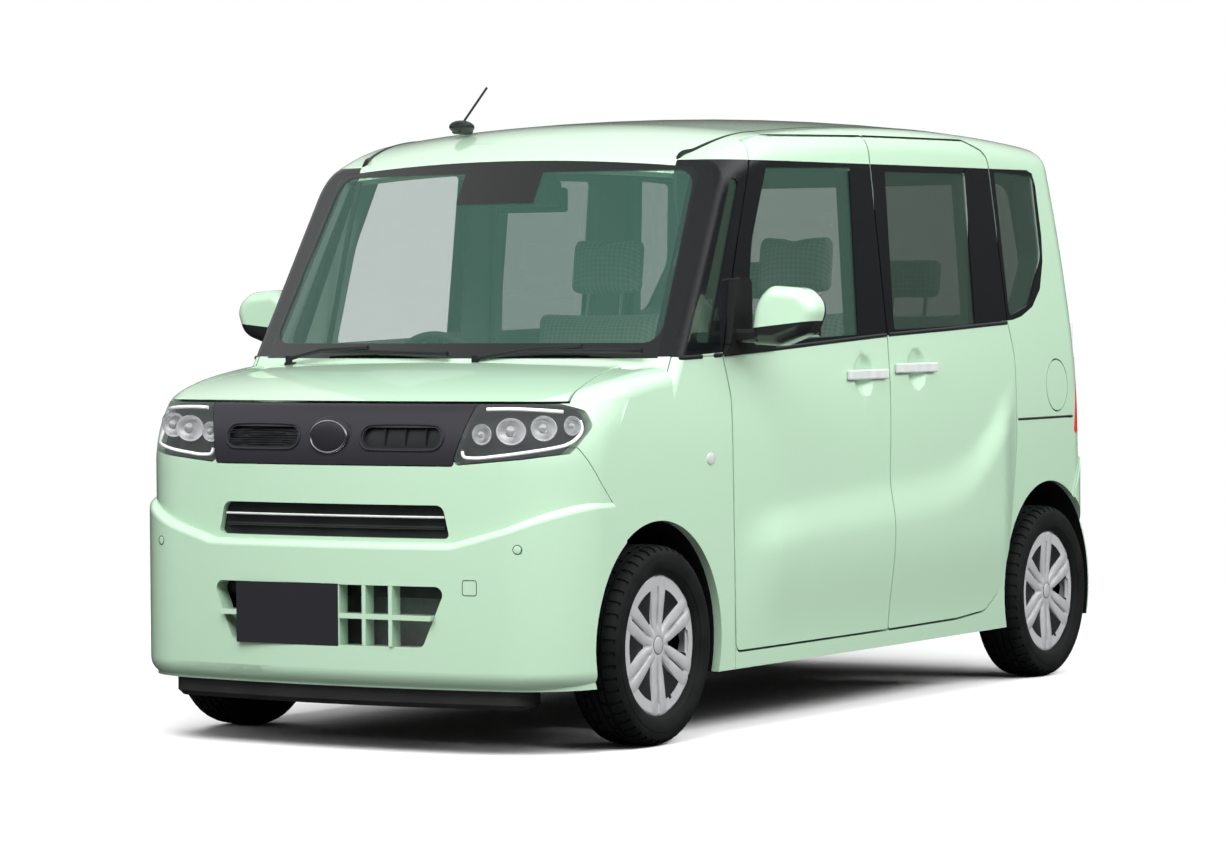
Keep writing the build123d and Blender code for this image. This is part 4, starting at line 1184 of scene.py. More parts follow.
@dataclass
class Pressings:
    """The shallow shape that the doors share: one function of place moves all their outer skins."""

    band_top: tuple[Pair, ...] = (  # both edges of the hollow: rearwards, up
        (-0.74, 0.590), (-0.50, 0.636), (-0.246, 0.657), (0.128, 0.678), (0.45, 0.694), (0.64, 0.722),
        (0.808, 0.777), (0.958, 0.890), (1.10, 1.000))
    band_bottom: tuple[Pair, ...] = (
        (-0.74, 0.480), (-0.367, 0.506), (0.126, 0.523), (0.45, 0.536), (0.63, 0.560), (0.771, 0.622),
        (0.954, 0.763), (1.10, 0.880))
    band_depth: float = 0.021
    fade_in: Pair = (-0.74, -0.50)
    fade_out: Pair = (0.93, 1.09)
    foot: Pair = (0.225, 0.50)
    belt: float = 1.06
    widest: float = 0.728
    middle: float = 0.1
    bow: float = 120.0
    shoulder: float = 0.78
    lean: float = 0.1225
    skin: Pair = (0.006, 0.036)
    lowest: float = 0.21
    row: float = 0.020
    crease: float = 24.0
    panels: tuple[Panel, ...] = (Panel("door_front_left", "door_left", 0.73, (-0.75, 0.21, 0.040)),
                                 Panel("door_front_right", "door_right", 0.73, (-0.75, 0.21, 0.040)),
                                 Panel("sliding_doors", "body", 1.06, (0.17, 1.09, 0.030)))

    def height(self, along: float, up: float) -> float:
        """How far out the skin moves at a place.

        Args:
            along: The place rearwards.
            up: Its height.

        Returns:
            The move in metres, negative towards the cabin.
        """
        top, bottom = follow(self.band_top, along), follow(self.band_bottom, along)
        inward = 1.0 - ease((up - bottom) / (top - bottom), 0.0, 1.0)
        fade = ease(along, *self.fade_in) * (1.0 - ease(along, *self.fade_out))
        return -self.band_depth * inward * fade * ease(up, *self.foot)

    def depth(self, place: Vector) -> float:
        """How far inside the car's plain side a point is.

        Args:
            place: The point.

        Returns:
            The depth in metres.
        """
        rise = max(0.0, place.z - self.shoulder)
        out = self.widest - (place.y - self.middle) ** 2 / self.bow - self.lean * rise ** 2
        return out - abs(place.x)

    def press(self, panel: Panel) -> None:
        """Cut a panel finer where it is shaped, and move its outer skin.

        Args:
            panel: The panel.
        """
        obj = Bench.copy_of(panel.node, f"pressed_{panel.node}")
        rows = levels(self.lowest, panel.highest, self.row)
        cuts = [((0.0, 0.0, level), (0.0, 0.0, 1.0)) for level in rows]
        cuts += [((0.0, level, 0.0), (0.0, 1.0, 0.0)) for level in levels(*panel.columns)]
        Bench.edit(obj)
        for place, normal in cuts:
            bpy.ops.mesh.select_all(action="SELECT")
            bpy.ops.mesh.bisect(plane_co=place, plane_no=normal)
        Bench.done()
        for vertex in obj.data.vertices:
            weight = 1.0 - ease(self.depth(vertex.co), *self.skin)
            if weight > 0.0 and vertex.co.z < self.belt:
                shift = weight * self.height(vertex.co.y, vertex.co.z)
                vertex.co.x += math.copysign(shift, vertex.co.x)
        Bench.settle(obj, Look.SIDE_PAINT, panel.body, (panel.node,), self.crease)
        Bench.modify(obj, "WEIGHTED_NORMAL", keep_sharp=True, weight=80)

    def build(self) -> None:
        """Press every panel."""
        for panel in self.panels:
            self.press(panel)


# ---------------------------------------------------------------- the nose
@dataclass
class Badge:
    """A plain oval badge between the two grille openings: a bright ring round a bare domed plate."""

    centre: Pair = (0.0, 0.842)
    radii: Pair = (0.0575, 0.042)
    rim: float = 0.0045
    lean: float = 86.0
    ring_proud: float = 0.006
    plate_thick: float = 0.009
    plate_proud: float = 0.004
    seat_margin: float = 0.012
    seat_sunk: float = 0.004

    def build(self) -> None:
        """Seat, plate and ring."""
        x, z = self.centre
        wide, high = self.radii
        more = self.seat_margin
        face = Skin("grille_panel").front(x, z).y
        seat = Bench.dome("badge_seat", (x, face + self.seat_sunk, z), (wide + more, more, high + more))
        Bench.settle(seat, Look.GLOSS_BLACK)
        plate = Bench.dome("badge_plate", (x, face - self.plate_proud, z), (wide, self.plate_thick, high))
        Bench.settle(plate, Look.GLOSS_BLACK)
        ring = Bench.ring("badge_ring", (x, face - self.ring_proud, z), self.radii, self.rim,
                          (math.radians(self.lean), 0.0, 0.0))
        Bench.settle(ring, Look.CHROME)


@dataclass
class GrilleTrim:
    """Rims round the two pill openings, ribs in the left one, and fine bars behind the right one."""

    low: float = 0.815
    high: float = 0.868
    inner: float = 0.104
    outer: float = 0.343
    rim: float = 0.0036
    rim_gap: float = 0.006
    rim_proud: float = 0.0005
    arc_steps: int = 8
    ribs: tuple[float, ...] = (0.170, 0.232, 0.294)
    rib_level: float = 0.842
    rib: Point = (0.0018, 0.006, 0.004)  # half a rib's width, how far it stands proud, how deep it goes
    rib_gap: float = 0.004
    bar_radius: float = 0.0014
    bar_count: int = 8
    bar_first: float = 0.005
    bar_pitch: float = 0.0061
    bar_places: Point = (-0.28, -0.22, -0.16)
    bar_gaps: Pair = (0.012, 0.003)  # short of the opening's ends: for the end bars, and the others

    def outline(self, side: int) -> list[Pair]:
        """Places round a pill opening.

        Args:
            side: 1 for the left opening, -1 for the right one.

        Returns:
            The places as (across, up).
        """
        round_end = (self.high - self.low) / 2
        half, middle = round_end + self.rim_gap, (self.high + self.low) / 2
        places = []
        for centre, start in ((self.outer - round_end, -90.0), (self.inner + round_end, 90.0)):
            for step in range(self.arc_steps + 1):
                angle = math.radians(start + 180.0 * step / self.arc_steps)
                places.append((side * (centre + half * math.cos(angle)), middle + half * math.sin(angle)))
        return places

    def build(self) -> None:
        """Both rims, then the ribs and the bars."""
        panel, skin = Skin("grille_panel"), Skin("grille_panel", "pill_grilles")
        for side, word in SIDES:
            points = [(x, panel.front(x, z, self.rim_proud).y, z) for x, z in self.outline(side)]
            Bench.settle(Bench.tube(f"pill_rim_{word}", points, self.rim, closed=True), Look.GLOSS_BLACK)
        wide, proud, deep = self.rib
        rows = []
        for index, x in enumerate(self.ribs):
            y = skin.front(x, self.rib_level).y
            rows.append(Bench.block(f"rib_{index}", (x - wide, y - proud, self.low + self.rib_gap),
                                    (x + wide, y + deep, self.high - self.rib_gap),
                                    round_off=0.0008, segments=2))
        Bench.settle(Bench.join("pill_ribs_left", rows), Look.SATIN_BLACK)
        rows = []
        for index in range(self.bar_count):
            z = self.low + self.bar_first + index * self.bar_pitch
            gap = self.bar_gaps[0] if index in (0, self.bar_count - 1) else self.bar_gaps[1]
            line = [(x, skin.front(x, z, 0.002).y, z)
                    for x in (-self.outer + gap, *self.bar_places, -self.inner - gap)]
            rows.append(Bench.tube(f"bar_{index}", line, self.bar_radius))
        Bench.settle(Bench.join("pill_bars_right", rows), Look.SATIN_BLACK)


@dataclass
class IntakeBar:
    """The thin bright bar across the upper intake, with a darker one under it."""

    half: float = 0.352
    margin: float = 0.03
    level: float = 0.62
    bow: float = 6.4
    steps: int = 8
    rows: tuple[tuple[Look, float, float, float], ...] = (  # finish, height, radius, depth in the intake
        (Look.SATIN, 0.632, 0.0032, 0.010), (Look.SATIN_BLACK, 0.604, 0.0048, 0.014))

    def build(self) -> None:
        """Both bars follow the nose's curve."""
        reach = self.half + self.margin
        edge = Skin("front_bumper", "upper_grille").front(reach, self.level).y
        for index, (look, z, radius, depth) in enumerate(self.rows):
            points = []
            for step in range(self.steps + 1):
                x = -self.half + 2 * self.half * step / self.steps
                points.append((x, edge - (reach ** 2 - x ** 2) / self.bow + depth, z))
            Bench.settle(Bench.tube(f"intake_bar_{index}", points, radius), look)


@dataclass
class BumperFittings:
    """Two parking sensors and the towing-eye cover's seam."""

    sensors: tuple[Pair, ...] = ((0.575, 0.552), (-0.575, 0.552))
    sensor_r: float = 0.0105
    splay: float = 1.6
    sunk: float = 0.004
    proud: float = 0.0012
    ring_gap: float = 0.0014
    ring_proud: float = 0.0004
    seam: float = 0.0009
    seam_proud: float = 0.0002
    cover: Pair = (0.443, 0.450)
    cover_half: float = 0.020
    cover_corner: float = 0.006

    def sensor(self, index: int, ahead: Vector) -> None:
        """A painted disc in a dark ring.

        Args:
            index: The sensor's number.
            ahead: Its place on the bumper's skin.
        """
        out = Vector((ahead.x / self.splay, -1.0, 0.0)).normalized()
        disc = Bench.drum(f"sensor_{index}", ahead - out * self.sunk, ahead + out * self.proud, self.sensor_r,
                          sides=36, round_off=0.0008)
        Bench.settle(disc, Look.PAINT)
        ring = Bench.ring(f"sensor_ring_{index}", tuple(ahead + out * self.ring_proud),
                          (self.sensor_r + self.ring_gap,) * 2, self.seam,
                          tuple(out.to_track_quat("Z", "Y").to_euler()))
        Bench.settle(ring, Look.SATIN_BLACK)

    def build(self) -> None:
        """All on the bumper's skin."""
        skin = Skin("front_bumper")
        for index, (x, z) in enumerate(self.sensors):
            self.sensor(index, skin.front(x, z))
        x, z = self.cover
        half, corner = self.cover_half, self.cover_corner
        points = []
        for cx, cz, start in ((half, -half, -90), (half, half, 0), (-half, half, 90), (-half, -half, 180)):
            for step in range(4):
                angle = math.radians(start + 30 * step)
                px = x + cx - math.copysign(corner, cx) + corner * math.cos(angle)
                pz = z + cz - math.copysign(corner, cz) + corner * math.sin(angle)
                points.append(tuple(skin.front(px, pz, self.seam_proud)))
        seam = Bench.tube("tow_cover_seam", points, self.seam, closed=True, smooth=False)
        Bench.settle(seam, Look.SATIN_BLACK)


@dataclass
class Headlamps:
    """Inside the clear lenses: a dark housing, bright reflectors and two white light strips."""

    top_strip: tuple[Pair, ...] = ((0.452, 0.916), (0.520, 0.917), (0.590, 0.914), (0.640, 0.909))
    low_strip: tuple[Pair, ...] = (
        (0.402, 0.806), (0.408, 0.793), (0.430, 0.789), (0.500, 0.794), (0.570, 0.803), (0.640, 0.816))
    tip_strip: tuple[Pair, ...] = ((-1.530, 0.822), (-1.500, 0.838), (-1.478, 0.862), (-1.476, 0.886))
    strip_sunk: float = 0.010
    top_radius: float = 0.0050
    low_radius: float = 0.0046
    bowls: tuple[tuple[float, float, float, float], ...] = (  # across, up, half width, half height
        (0.438, 0.850, 0.030, 0.028), (0.520, 0.858, 0.046, 0.036),
        (0.600, 0.866, 0.040, 0.034), (0.655, 0.872, 0.026, 0.026))
    bowl_sunk: float = 0.034
    bowl_deep: float = 0.022
    bowl_wall: float = 0.0012
    bulb_sunk: float = 0.032
    bulb_deep: float = 0.012
    bulb_share: float = 0.34
    glance: Pair = (0.45, 0.9)  # the way into a lamp: inwards, and rearwards
    square: float = 0.45  # the least that an outer face is turned against it
    outermost: float = 0.004

    def housing(self) -> None:
        """The lens solids without their faces, as a bowl behind the glass."""
        shell = Bench.copy_of("headlamps", "headlamp_housing")
        outer = Skin("headlamps")
        inwards, back = self.glance

        def faces_out(centre: Vector, normal: Vector) -> bool:
            """Tell the lens's own outer face.

            Args:
                centre: A face's centre.
                normal: Its normal.

            Returns:
                True where nothing of the lens lies before the face.
            """
            ray = Vector((-math.copysign(inwards, centre.x), back, 0.0)).normalized()
            place, _, _, _ = outer.tree.ray_cast(centre - ray * 0.5, ray)
            first = place is not None and (place - centre).length < self.outermost
            return first and normal.dot(ray) < -self.square

        Bench.edit(shell)
        Bench.pick_faces(shell, faces_out)
        bpy.ops.mesh.delete(type="FACE")
        Bench.done()
        Bench.settle(shell, Look.LAMP_DARK)

    def strip(self, name: str, points: Sequence[Vector], radius: float) -> None:
        """A white light guide."""
        Bench.settle(Bench.tube(name, [tuple(p) for p in points], radius), Look.LIGHT_GUIDE)

    def build(self) -> None:
        """Housing, then strips and bowls for each side."""
        self.housing()
        skin = Skin("headlamps")
        for side, word in SIDES:
            top = [skin.front(side * x, z, -self.strip_sunk) for x, z in self.top_strip]
            self.strip(f"light_strip_top_{word}", top, self.top_radius)
            low = [skin.front(side * x, z, -self.strip_sunk) for x, z in self.low_strip]
            low += [skin.side(y, z, -self.strip_sunk, side) for y, z in self.tip_strip]
            self.strip(f"light_strip_low_{word}", low, self.low_radius)
            for index, (x, z, wide, high) in enumerate(self.bowls):
                face = skin.front(side * x, z).y
                centre = (side * x, face + self.bowl_sunk, z)
                bowl = Bench.dome(f"reflector_{index}_{word}", centre, (wide, self.bowl_deep, high))
                Bench.slice_off(bowl, centre, (0, -1, 0))
                Bench.modify(bowl, "SOLIDIFY", thickness=self.bowl_wall)
                Bench.settle(bowl, Look.REFLECTOR)
                bulb = Bench.dome(f"bulb_{index}_{word}", (side * x, face + self.bulb_sunk, z),
                                  (wide * self.bulb_share, self.bulb_deep, wide * self.bulb_share))
                Bench.settle(bulb, Look.LAMP_EYE)


@dataclass
class SideMarkers:
    """Small clear repeaters on the front wings."""

    place: Pair = (-0.868, 0.765)
    half: Pair = (0.021, 0.0155)
    margin: float = 0.002
    base_thick: float = 0.004
    lens_thick: float = 0.008
    lens_proud: float = 0.001

    def build(self) -> None:
        """A bright base under a clear dome, both sides."""
        skin = Skin("fenders")
        along, high = self.half
        for side, word in SIDES:
            spot = skin.side(*self.place, side=side)
            base = Bench.dome(f"marker_base_{word}", tuple(spot),
                              (self.base_thick, along + self.margin, high + self.margin))
            Bench.settle(base, Look.SATIN)
            lens = Bench.dome(f"marker_lens_{word}", (spot.x + side * self.lens_proud, spot.y, spot.z),
                              (self.lens_thick, along, high))
            Bench.settle(lens, Look.LENS)


# ---------------------------------------------------------------- trim along the sides and on the roof
@dataclass
class BeltTrim:
    """Black mouldings under the side windows, one on each panel."""

    runs: tuple[tuple[str, bool, tuple[Pair, ...]], ...] = (  # name, on the front door, and its line
        ("wing", False, ((-1.010, 1.043), (-0.900, 1.046), (-0.792, 1.049))),
        ("front", True, ((-0.776, 1.050), (-0.500, 1.062), (-0.150, 1.079), (0.196, 1.095))),
        ("sliding", False, ((0.212, 1.096), (0.600, 1.109), (1.036, 1.126))))
    radius: float = 0.0065
    sunk: float = 0.002
    parts: int = 6

    def build(self) -> None:
        """Both sides."""
        skin = Skin("body_shell", "fenders", "door_front_left", "door_front_right", "sliding_doors")
        for side, word in SIDES:
            for name, on_door, rows in self.runs:
                steps: list[Pair] = []
                for (a, b), (c, d) in zip(rows, rows[1:]):
                    shares = (part / self.parts for part in range(self.parts))
                    steps += [(a + (c - a) * share, b + (d - b) * share) for share in shares]
                steps.append(rows[-1])
                points = [tuple(skin.side(y, z, -self.sunk, side)) for y, z in steps]
                strip = Bench.tube(f"belt_{name}_{word}", points, self.radius)
                Bench.settle(strip, Look.SATIN_BLACK, f"door_{word}" if on_door else "body")


@dataclass
class SlideRails:
    """The slot behind each sliding door that its middle roller runs in."""

    ends: Pair = (1.090, 1.552)
    level: float = 0.8235
    radius: float = 0.0042
    sunk: float = 0.0015
    count: int = 12

    def build(self) -> None:
        """A dark line let into each rear quarter."""
        skin = Skin("body_shell")
        start, end = self.ends
        for side, word in SIDES:
            points = [skin.side(start + (end - start) * step / (self.count - 1), self.level, -self.sunk, side)
                      for step in range(self.count)]
            Bench.settle(Bench.tube(f"slide_rail_{word}", points, self.radius), Look.SATIN_BLACK)


@dataclass
class AntennaFoot:
    """The rubber foot that the antenna's rod stands in."""

    centre: Point = (-0.299, -0.532, 1.711)
    radii: Point = (0.026, 0.056, 0.020)

    def build(self) -> None:
        """A long low dome."""
        Bench.settle(Bench.dome("antenna_foot", self.centre, self.radii), Look.SATIN_BLACK)


@dataclass
class RoofDitch:
    """The black joint that runs back from each top corner of the windscreen."""

    rows: tuple[Point, ...] = (  # across, rearwards, and the joint's radius there
        (0.507, -0.742, 0.0085), (0.528, -0.700, 0.0075), (0.545, -0.640, 0.0062), (0.556, -0.560, 0.0048),
        (0.562, -0.450, 0.0032), (0.565, -0.300, 0.0022), (0.565, 0.300, 0.0018), (0.562, 0.900, 0.0018),
        (0.552, 1.400, 0.0018))
    sunk: float = 0.0008

    def build(self) -> None:
        """Both sides."""
        skin = Skin("body_shell")
        for side, word in SIDES:
            points = [tuple(skin.above(side * x, y, -self.sunk)) for x, y, _ in self.rows]
            ditch = Bench.tube(f"roof_ditch_{word}", points, [radius for _, _, radius in self.rows])
            Bench.settle(ditch, Look.SATIN_BLACK)


@dataclass
class MirrorGlass:
    """The silvered plates in the backs of the door mirrors."""

    low: Point = (0.786, -0.659, 1.098)
    high: Point = (0.950, -0.652, 1.218)
    corner: float = 0.03
    sharp: float = 0.6

    def build(self) -> None:
        """One a side, on the doors."""
        plate = Bench.block("mirror_plate_left", self.low, self.high)
        Bench.soften(plate, self.corner, segments=6, sharp=self.sharp)
        Bench.settle(plate, Look.CHROME, "door_left")
        Bench.settle(Bench.mirrored(plate, "mirror_plate_right_side"), Look.CHROME, "door_right")


# ---------------------------------------------------------------- wheels and tyres
@dataclass(frozen=True)
class Corner:
    """One wheel's place."""

    word: str
    side: int
    axle_y: float

    @property
    def body(self) -> str:
        """The frame body that turns."""
        return f"wheel_{self.word}"


FRONT_AXLE, REAR_AXLE = -1.1375, 1.3225
CORNERS = (Corner("front_left", 1, FRONT_AXLE), Corner("front_right", -1, FRONT_AXLE),
           Corner("rear_left", 1, REAR_AXLE), Corner("rear_right", -1, REAR_AXLE))
WHEEL_X = 0.650
HUB_Z = 0.272


@dataclass
class Tyre:
    """A road tyre: round shoulders, four grooves, shoulder slots and plain ringed side walls."""

    rows: tuple[Pair, ...] = (  # half the section, from the bead to the middle: across, radius
        (0.060, 0.1900), (0.066, 0.1935), (0.070, 0.1990), (0.0715, 0.2035), (0.0735, 0.2040),
        (0.0755, 0.2100), (0.0775, 0.2200), (0.0780, 0.2290), (0.0776, 0.2340), (0.0764, 0.2345),
        (0.0762, 0.2400), (0.0748, 0.2480), (0.0720, 0.2550), (0.0680, 0.2600), (0.0620, 0.2650),
        (0.0520, 0.2685), (0.0400, 0.2700), (0.0370, 0.2701), (0.0362, 0.2635), (0.0312, 0.2635),
        (0.0304, 0.2706), (0.0150, 0.2712), (0.0142, 0.2640), (0.0088, 0.2640), (0.0080, 0.2714),
        (0.0, 0.2715))
    steps: int = 144
    slot_depth: float = 0.0045
    shoulder: Pair = (0.0390, 0.0730)
    shoulder_r: float = 0.245
    shoulder_every: int = 3
    rib: Pair = (0.0155, 0.0300)
    rib_every: int = 4
    rib_offset: int = 2
    merge: float = 0.00005
    crease: float = 38.0

    def build(self, corner: Corner) -> None:
        """Turn the section, then press the lateral slots into the shoulders and ribs.

        Args:
            corner: The wheel's place.
        """
        name = f"tread_tyre_{corner.word}"
        rows = list(self.rows) + [(-x, r) for x, r in reversed(self.rows[:-1])]
        hub = Vector((corner.side * WHEEL_X, corner.axle_y, HUB_Z))
        mesh = bpy.data.meshes.new(name)
        points = [(hub.x + corner.side * x, hub.y, hub.z + r) for x, r in rows]
        mesh.from_pydata(points, [(i, (i + 1) % len(rows)) for i in range(len(rows))], [])
        obj = Bench.fresh(name, mesh)
        Bench.edit(obj, "VERT", everything=True)
        bpy.ops.mesh.spin(steps=self.steps, angle=2 * math.pi, center=hub, axis=(1, 0, 0))
        bpy.ops.mesh.select_all(action="SELECT")
        bpy.ops.mesh.remove_doubles(threshold=self.merge)
        bpy.ops.mesh.normals_make_consistent(inside=False)
        bpy.ops.mesh.select_mode(type="FACE")
        bpy.ops.mesh.select_all(action="DESELECT")
        pitch = 2 * math.pi / self.steps

        def slot(centre: Vector, normal: Vector) -> bool:
            """Tell the faces that are pressed in.

            Args:
                centre: A face's centre.
                normal: Its normal, which makes no difference.

            Returns:
                True on every third shoulder face and every fourth face of the inner ribs.
            """
            across = abs(centre.x - hub.x)
            step = int(round((math.atan2(centre.z - hub.z, centre.y - hub.y) + math.pi) / pitch - 0.5))
            if self.shoulder[0] < across < self.shoulder[1] and (centre - hub).length > self.shoulder_r:
                return step % self.shoulder_every == 0
            offset = 0 if centre.x > hub.x else self.rib_offset
            return self.rib[0] < across < self.rib[1] and step % self.rib_every == offset

        Bench.pick_faces(obj, slot)
        bpy.ops.mesh.extrude_region_shrink_fatten(TRANSFORM_OT_shrink_fatten={"value": -self.slot_depth})
        Bench.done()
        Bench.settle(obj, Look.TYRE, corner.body, (f"tyre_{corner.word}",), self.crease)


@dataclass
class WheelCover:
    """A silver cover with six pairs of raised spokes, open windows between the pairs and a plain cap."""

    pairs: int = 6
    radii: tuple[float, ...] = (  # the net's rings, and the crown's height at each
        0.0245, 0.032, 0.040, 0.050, 0.058, 0.066, 0.076, 0.088, 0.100, 0.112, 0.124, 0.136, 0.148, 0.157,
        0.166, 0.175, 0.184, 0.191, 0.1955)
    crown: tuple[float, ...] = (
        0.0560, 0.0562, 0.0560, 0.0556, 0.0556, 0.0558, 0.0562, 0.0568, 0.0574, 0.0580, 0.0586, 0.0590,
        0.0592, 0.0592, 0.0590, 0.0586, 0.0576, 0.0556, 0.0520)
    valley: float = 0.0085
    half_pair: Pair = (0.0300, 0.0475)
    widening: Pair = (0.06, 0.135)  # the radius from which the pairs widen, and over how much
    inner_fade: Pair = (0.036, 0.03)  # the radius from which the valleys deepen, and over how much
    outer_fade: Pair = (0.016, 0.15)  # the same before the rim, and the share that is left there
    window: Pair = (0.062, 0.154)
    window_columns: int = 7
    slit: Pair = (0.072, 0.172)
    wall: float = 0.0055
    edge: float = 0.0009
    sharp: float = 50.0
    crease: float = 32.0
    cap_x: float = 0.0555
    cap_half: float = 0.0050
    cap_radius: float = 0.0245
    seam: float = 0.0008
    valve_radius: float = 0.0055
    valve_ends: tuple[Point, Point] = ((-0.012, 0.058, -0.148), (0.0035, 0.060, -0.142))

    def columns(self, radius: float) -> list[Pair]:
        """Angles across half a pair.

        Args:
            radius: The ring's radius.

        Returns:
            Each angle with its depth below the crown, from 0 to 1.
        """
        limit = math.pi / self.pairs
        start, run = self.widening
        narrow, wide = self.half_pair
        widest = narrow + (wide - narrow) * max(0.0, radius - start) / run
        spans = ((0.0, 1.0), (0.0020, 1.0), (0.0044, 0.25), (0.27 * widest, 0.0), (0.52 * widest, 0.0),
                 (0.75 * widest, 0.10), (widest - 0.0035, 0.34), (widest, 1.0))
        angles = []
        for index, (offset, depth) in enumerate(spans):
            most = limit * (0.30 + 0.58 * index / (len(spans) - 1))
            angles.append((min(math.asin(min(0.98, offset / radius)), most), depth))
        last = angles[-1][0]
        return angles + [(last + (limit - last) * share, 1.0) for share in (0.33, 0.66, 1.0)]

    def ring(self, corner: Corner, radius: float, crown: float) -> list[Point]:
        """One round of the cover's net.

        Args:
            corner: The wheel's place.
            radius: The ring's radius.
            crown: The crown's height there.

        Returns:
            Its points, the same number for each pair of spokes.
        """
        sector = 2 * math.pi / self.pairs
        half = self.columns(radius)
        full = half + [(sector - angle, depth) for angle, depth in reversed(half[1:-1])]
        (start, run), (before, left) = self.inner_fade, self.outer_fade
        fade = min(1.0, max(0.0, (radius - start) / run))
        fade *= min(1.0, max(0.0, (self.radii[-1] - radius) / before) + left)
        points = []
        for pair in range(self.pairs):
            for angle, depth in full:
                turn = angle + pair * sector + math.pi / 2
                rise = crown - depth * fade * self.valley
                points.append((corner.side * (WHEEL_X + rise), corner.axle_y + radius * math.cos(turn),
                               HUB_Z + radius * math.sin(turn)))
        return points

    def open_at(self, radius: float, column: int, count: int) -> bool:
        """Tell where the cover is open.

        Args:
            radius: The radius between two rings.
            column: The quad's number within its pair.
            count: Quads to a pair.

        Returns:
            True in the windows between the pairs and in the slit along each pair's middle.
        """
        if self.window_columns <= column < count - self.window_columns:
            return self.window[0] < radius < self.window[1]
        return column in (0, count - 1) and self.slit[0] < radius < self.slit[1]

    def build(self, corner: Corner) -> None:
        """The cover's skin as one net of quads, then its thickness.

        Args:
            corner: The wheel's place.
        """
        name = f"wheel_cover_{corner.word}"
        rings = [self.ring(corner, radius, crown) for radius, crown in zip(self.radii, self.crown)]
        size = len(rings[0])
        faces = []
        for row, (inner, outer) in enumerate(zip(self.radii, self.radii[1:])):
            for index in range(size):
                if self.open_at((inner + outer) / 2, index % (size // self.pairs), size // self.pairs):
                    continue
                after = (index + 1) % size
                here, beyond = row * size, (row + 1) * size
                quad = (here + index, here + after, beyond + after, beyond + index)
                faces.append(quad if corner.side > 0 else quad[::-1])
        mesh = bpy.data.meshes.new(name)
        mesh.from_pydata([point for ring in rings for point in ring], [], faces)
        obj = Bench.fresh(name, mesh)
        Bench.edit(obj, "VERT", everything=True)
        bpy.ops.mesh.delete_loose()
        bpy.ops.mesh.select_all(action="SELECT")
        bpy.ops.mesh.normals_make_consistent(inside=False)
        Bench.done()
        if obj.data.polygons[0].normal.x * corner.side < 0:
            Bench.edit(obj, everything=True)
            bpy.ops.mesh.flip_normals()
            Bench.done()
        Bench.modify(obj, "SOLIDIFY", thickness=self.wall, offset=-1.0)
        Bench.soften(obj, self.edge, segments=2, sharp=math.radians(self.sharp))
        Bench.settle(obj, Look.SILVER, corner.body, angle=self.crease)

    def cap(self, corner: Corner) -> None:
        """The plain centre cap with its seam, and the tyre's valve.

        Args:
            corner: The wheel's place.
        """
        face = corner.side * (WHEEL_X + self.cap_x)
        dome = Bench.dome(f"wheel_cap_{corner.word}", (face, corner.axle_y, HUB_Z),
                          (self.cap_half, self.cap_radius, self.cap_radius))
        Bench.settle(dome, Look.SILVER, corner.body)
        seam = Bench.ring(f"cap_seam_{corner.word}", (face + corner.side * self.seam, corner.axle_y, HUB_Z),
                          (self.cap_radius, self.cap_radius), self.seam, (0.0, math.pi / 2, 0.0))
        Bench.settle(seam, Look.SATIN_BLACK, corner.body)
        ends = [(face + corner.side * x, corner.axle_y + y, HUB_Z + z) for x, y, z in self.valve_ends]
        valve = Bench.drum(f"valve_{corner.word}", *ends, self.valve_radius, sides=20, round_off=0.0012)
        Bench.settle(valve, Look.SATIN_BLACK, corner.body)


@dataclass
class Wheels:
    """All four corners."""

    tyre: Tyre = field(default_factory=Tyre)
    cover: WheelCover = field(default_factory=WheelCover)

    def build(self) -> None:
        """Tyre, cover and cap at each corner."""
        for corner in CORNERS:
            self.tyre.build(corner)
            self.cover.build(corner)
            self.cover.cap(corner)


# ---------------------------------------------------------------- the cabin
@dataclass(frozen=True)
class Pad:
    """A cushion of the left seat: its section as (rearwards, up), and how far it reaches across."""

    name: str
    section: tuple[Pair, ...]
    low: float
    high: float


@dataclass(frozen=True)
class SeatRow:
    """A row of two seats: its pads, the node that it stands for, and where the head restraints' posts are."""

    word: str
    node: str
    pads: tuple[Pad, ...]
    posts: Point


SEAT_ROWS = (
    SeatRow("front", "front_seats", (
        Pad("cushion", ((-0.322, 0.572), (0.182, 0.550), (0.186, 0.632), (-0.292, 0.672)), 0.088, 0.572),
        Pad("backrest", ((0.156, 0.650), (0.232, 0.642), (0.366, 1.176), (0.296, 1.184)), 0.094, 0.566),
        Pad("headrest", ((0.312, 1.224), (0.366, 1.220), (0.388, 1.388), (0.336, 1.396)), 0.206, 0.454)),
        (0.33, 0.330, 1.205)),
    SeatRow("rear", "rear_seat", (
        Pad("cushion", ((0.652, 0.536), (1.080, 0.496), (1.086, 0.624), (0.672, 0.676)), 0.006, 0.494),
        Pad("backrest", ((1.076, 0.652), (1.152, 0.634), (1.274, 1.166), (1.208, 1.174)), 0.006, 0.494),
        Pad("headrest", ((1.226, 1.206), (1.266, 1.202), (1.288, 1.328), (1.244, 1.332)), 0.152, 0.368)),
        (0.26, 1.243, 1.190)))


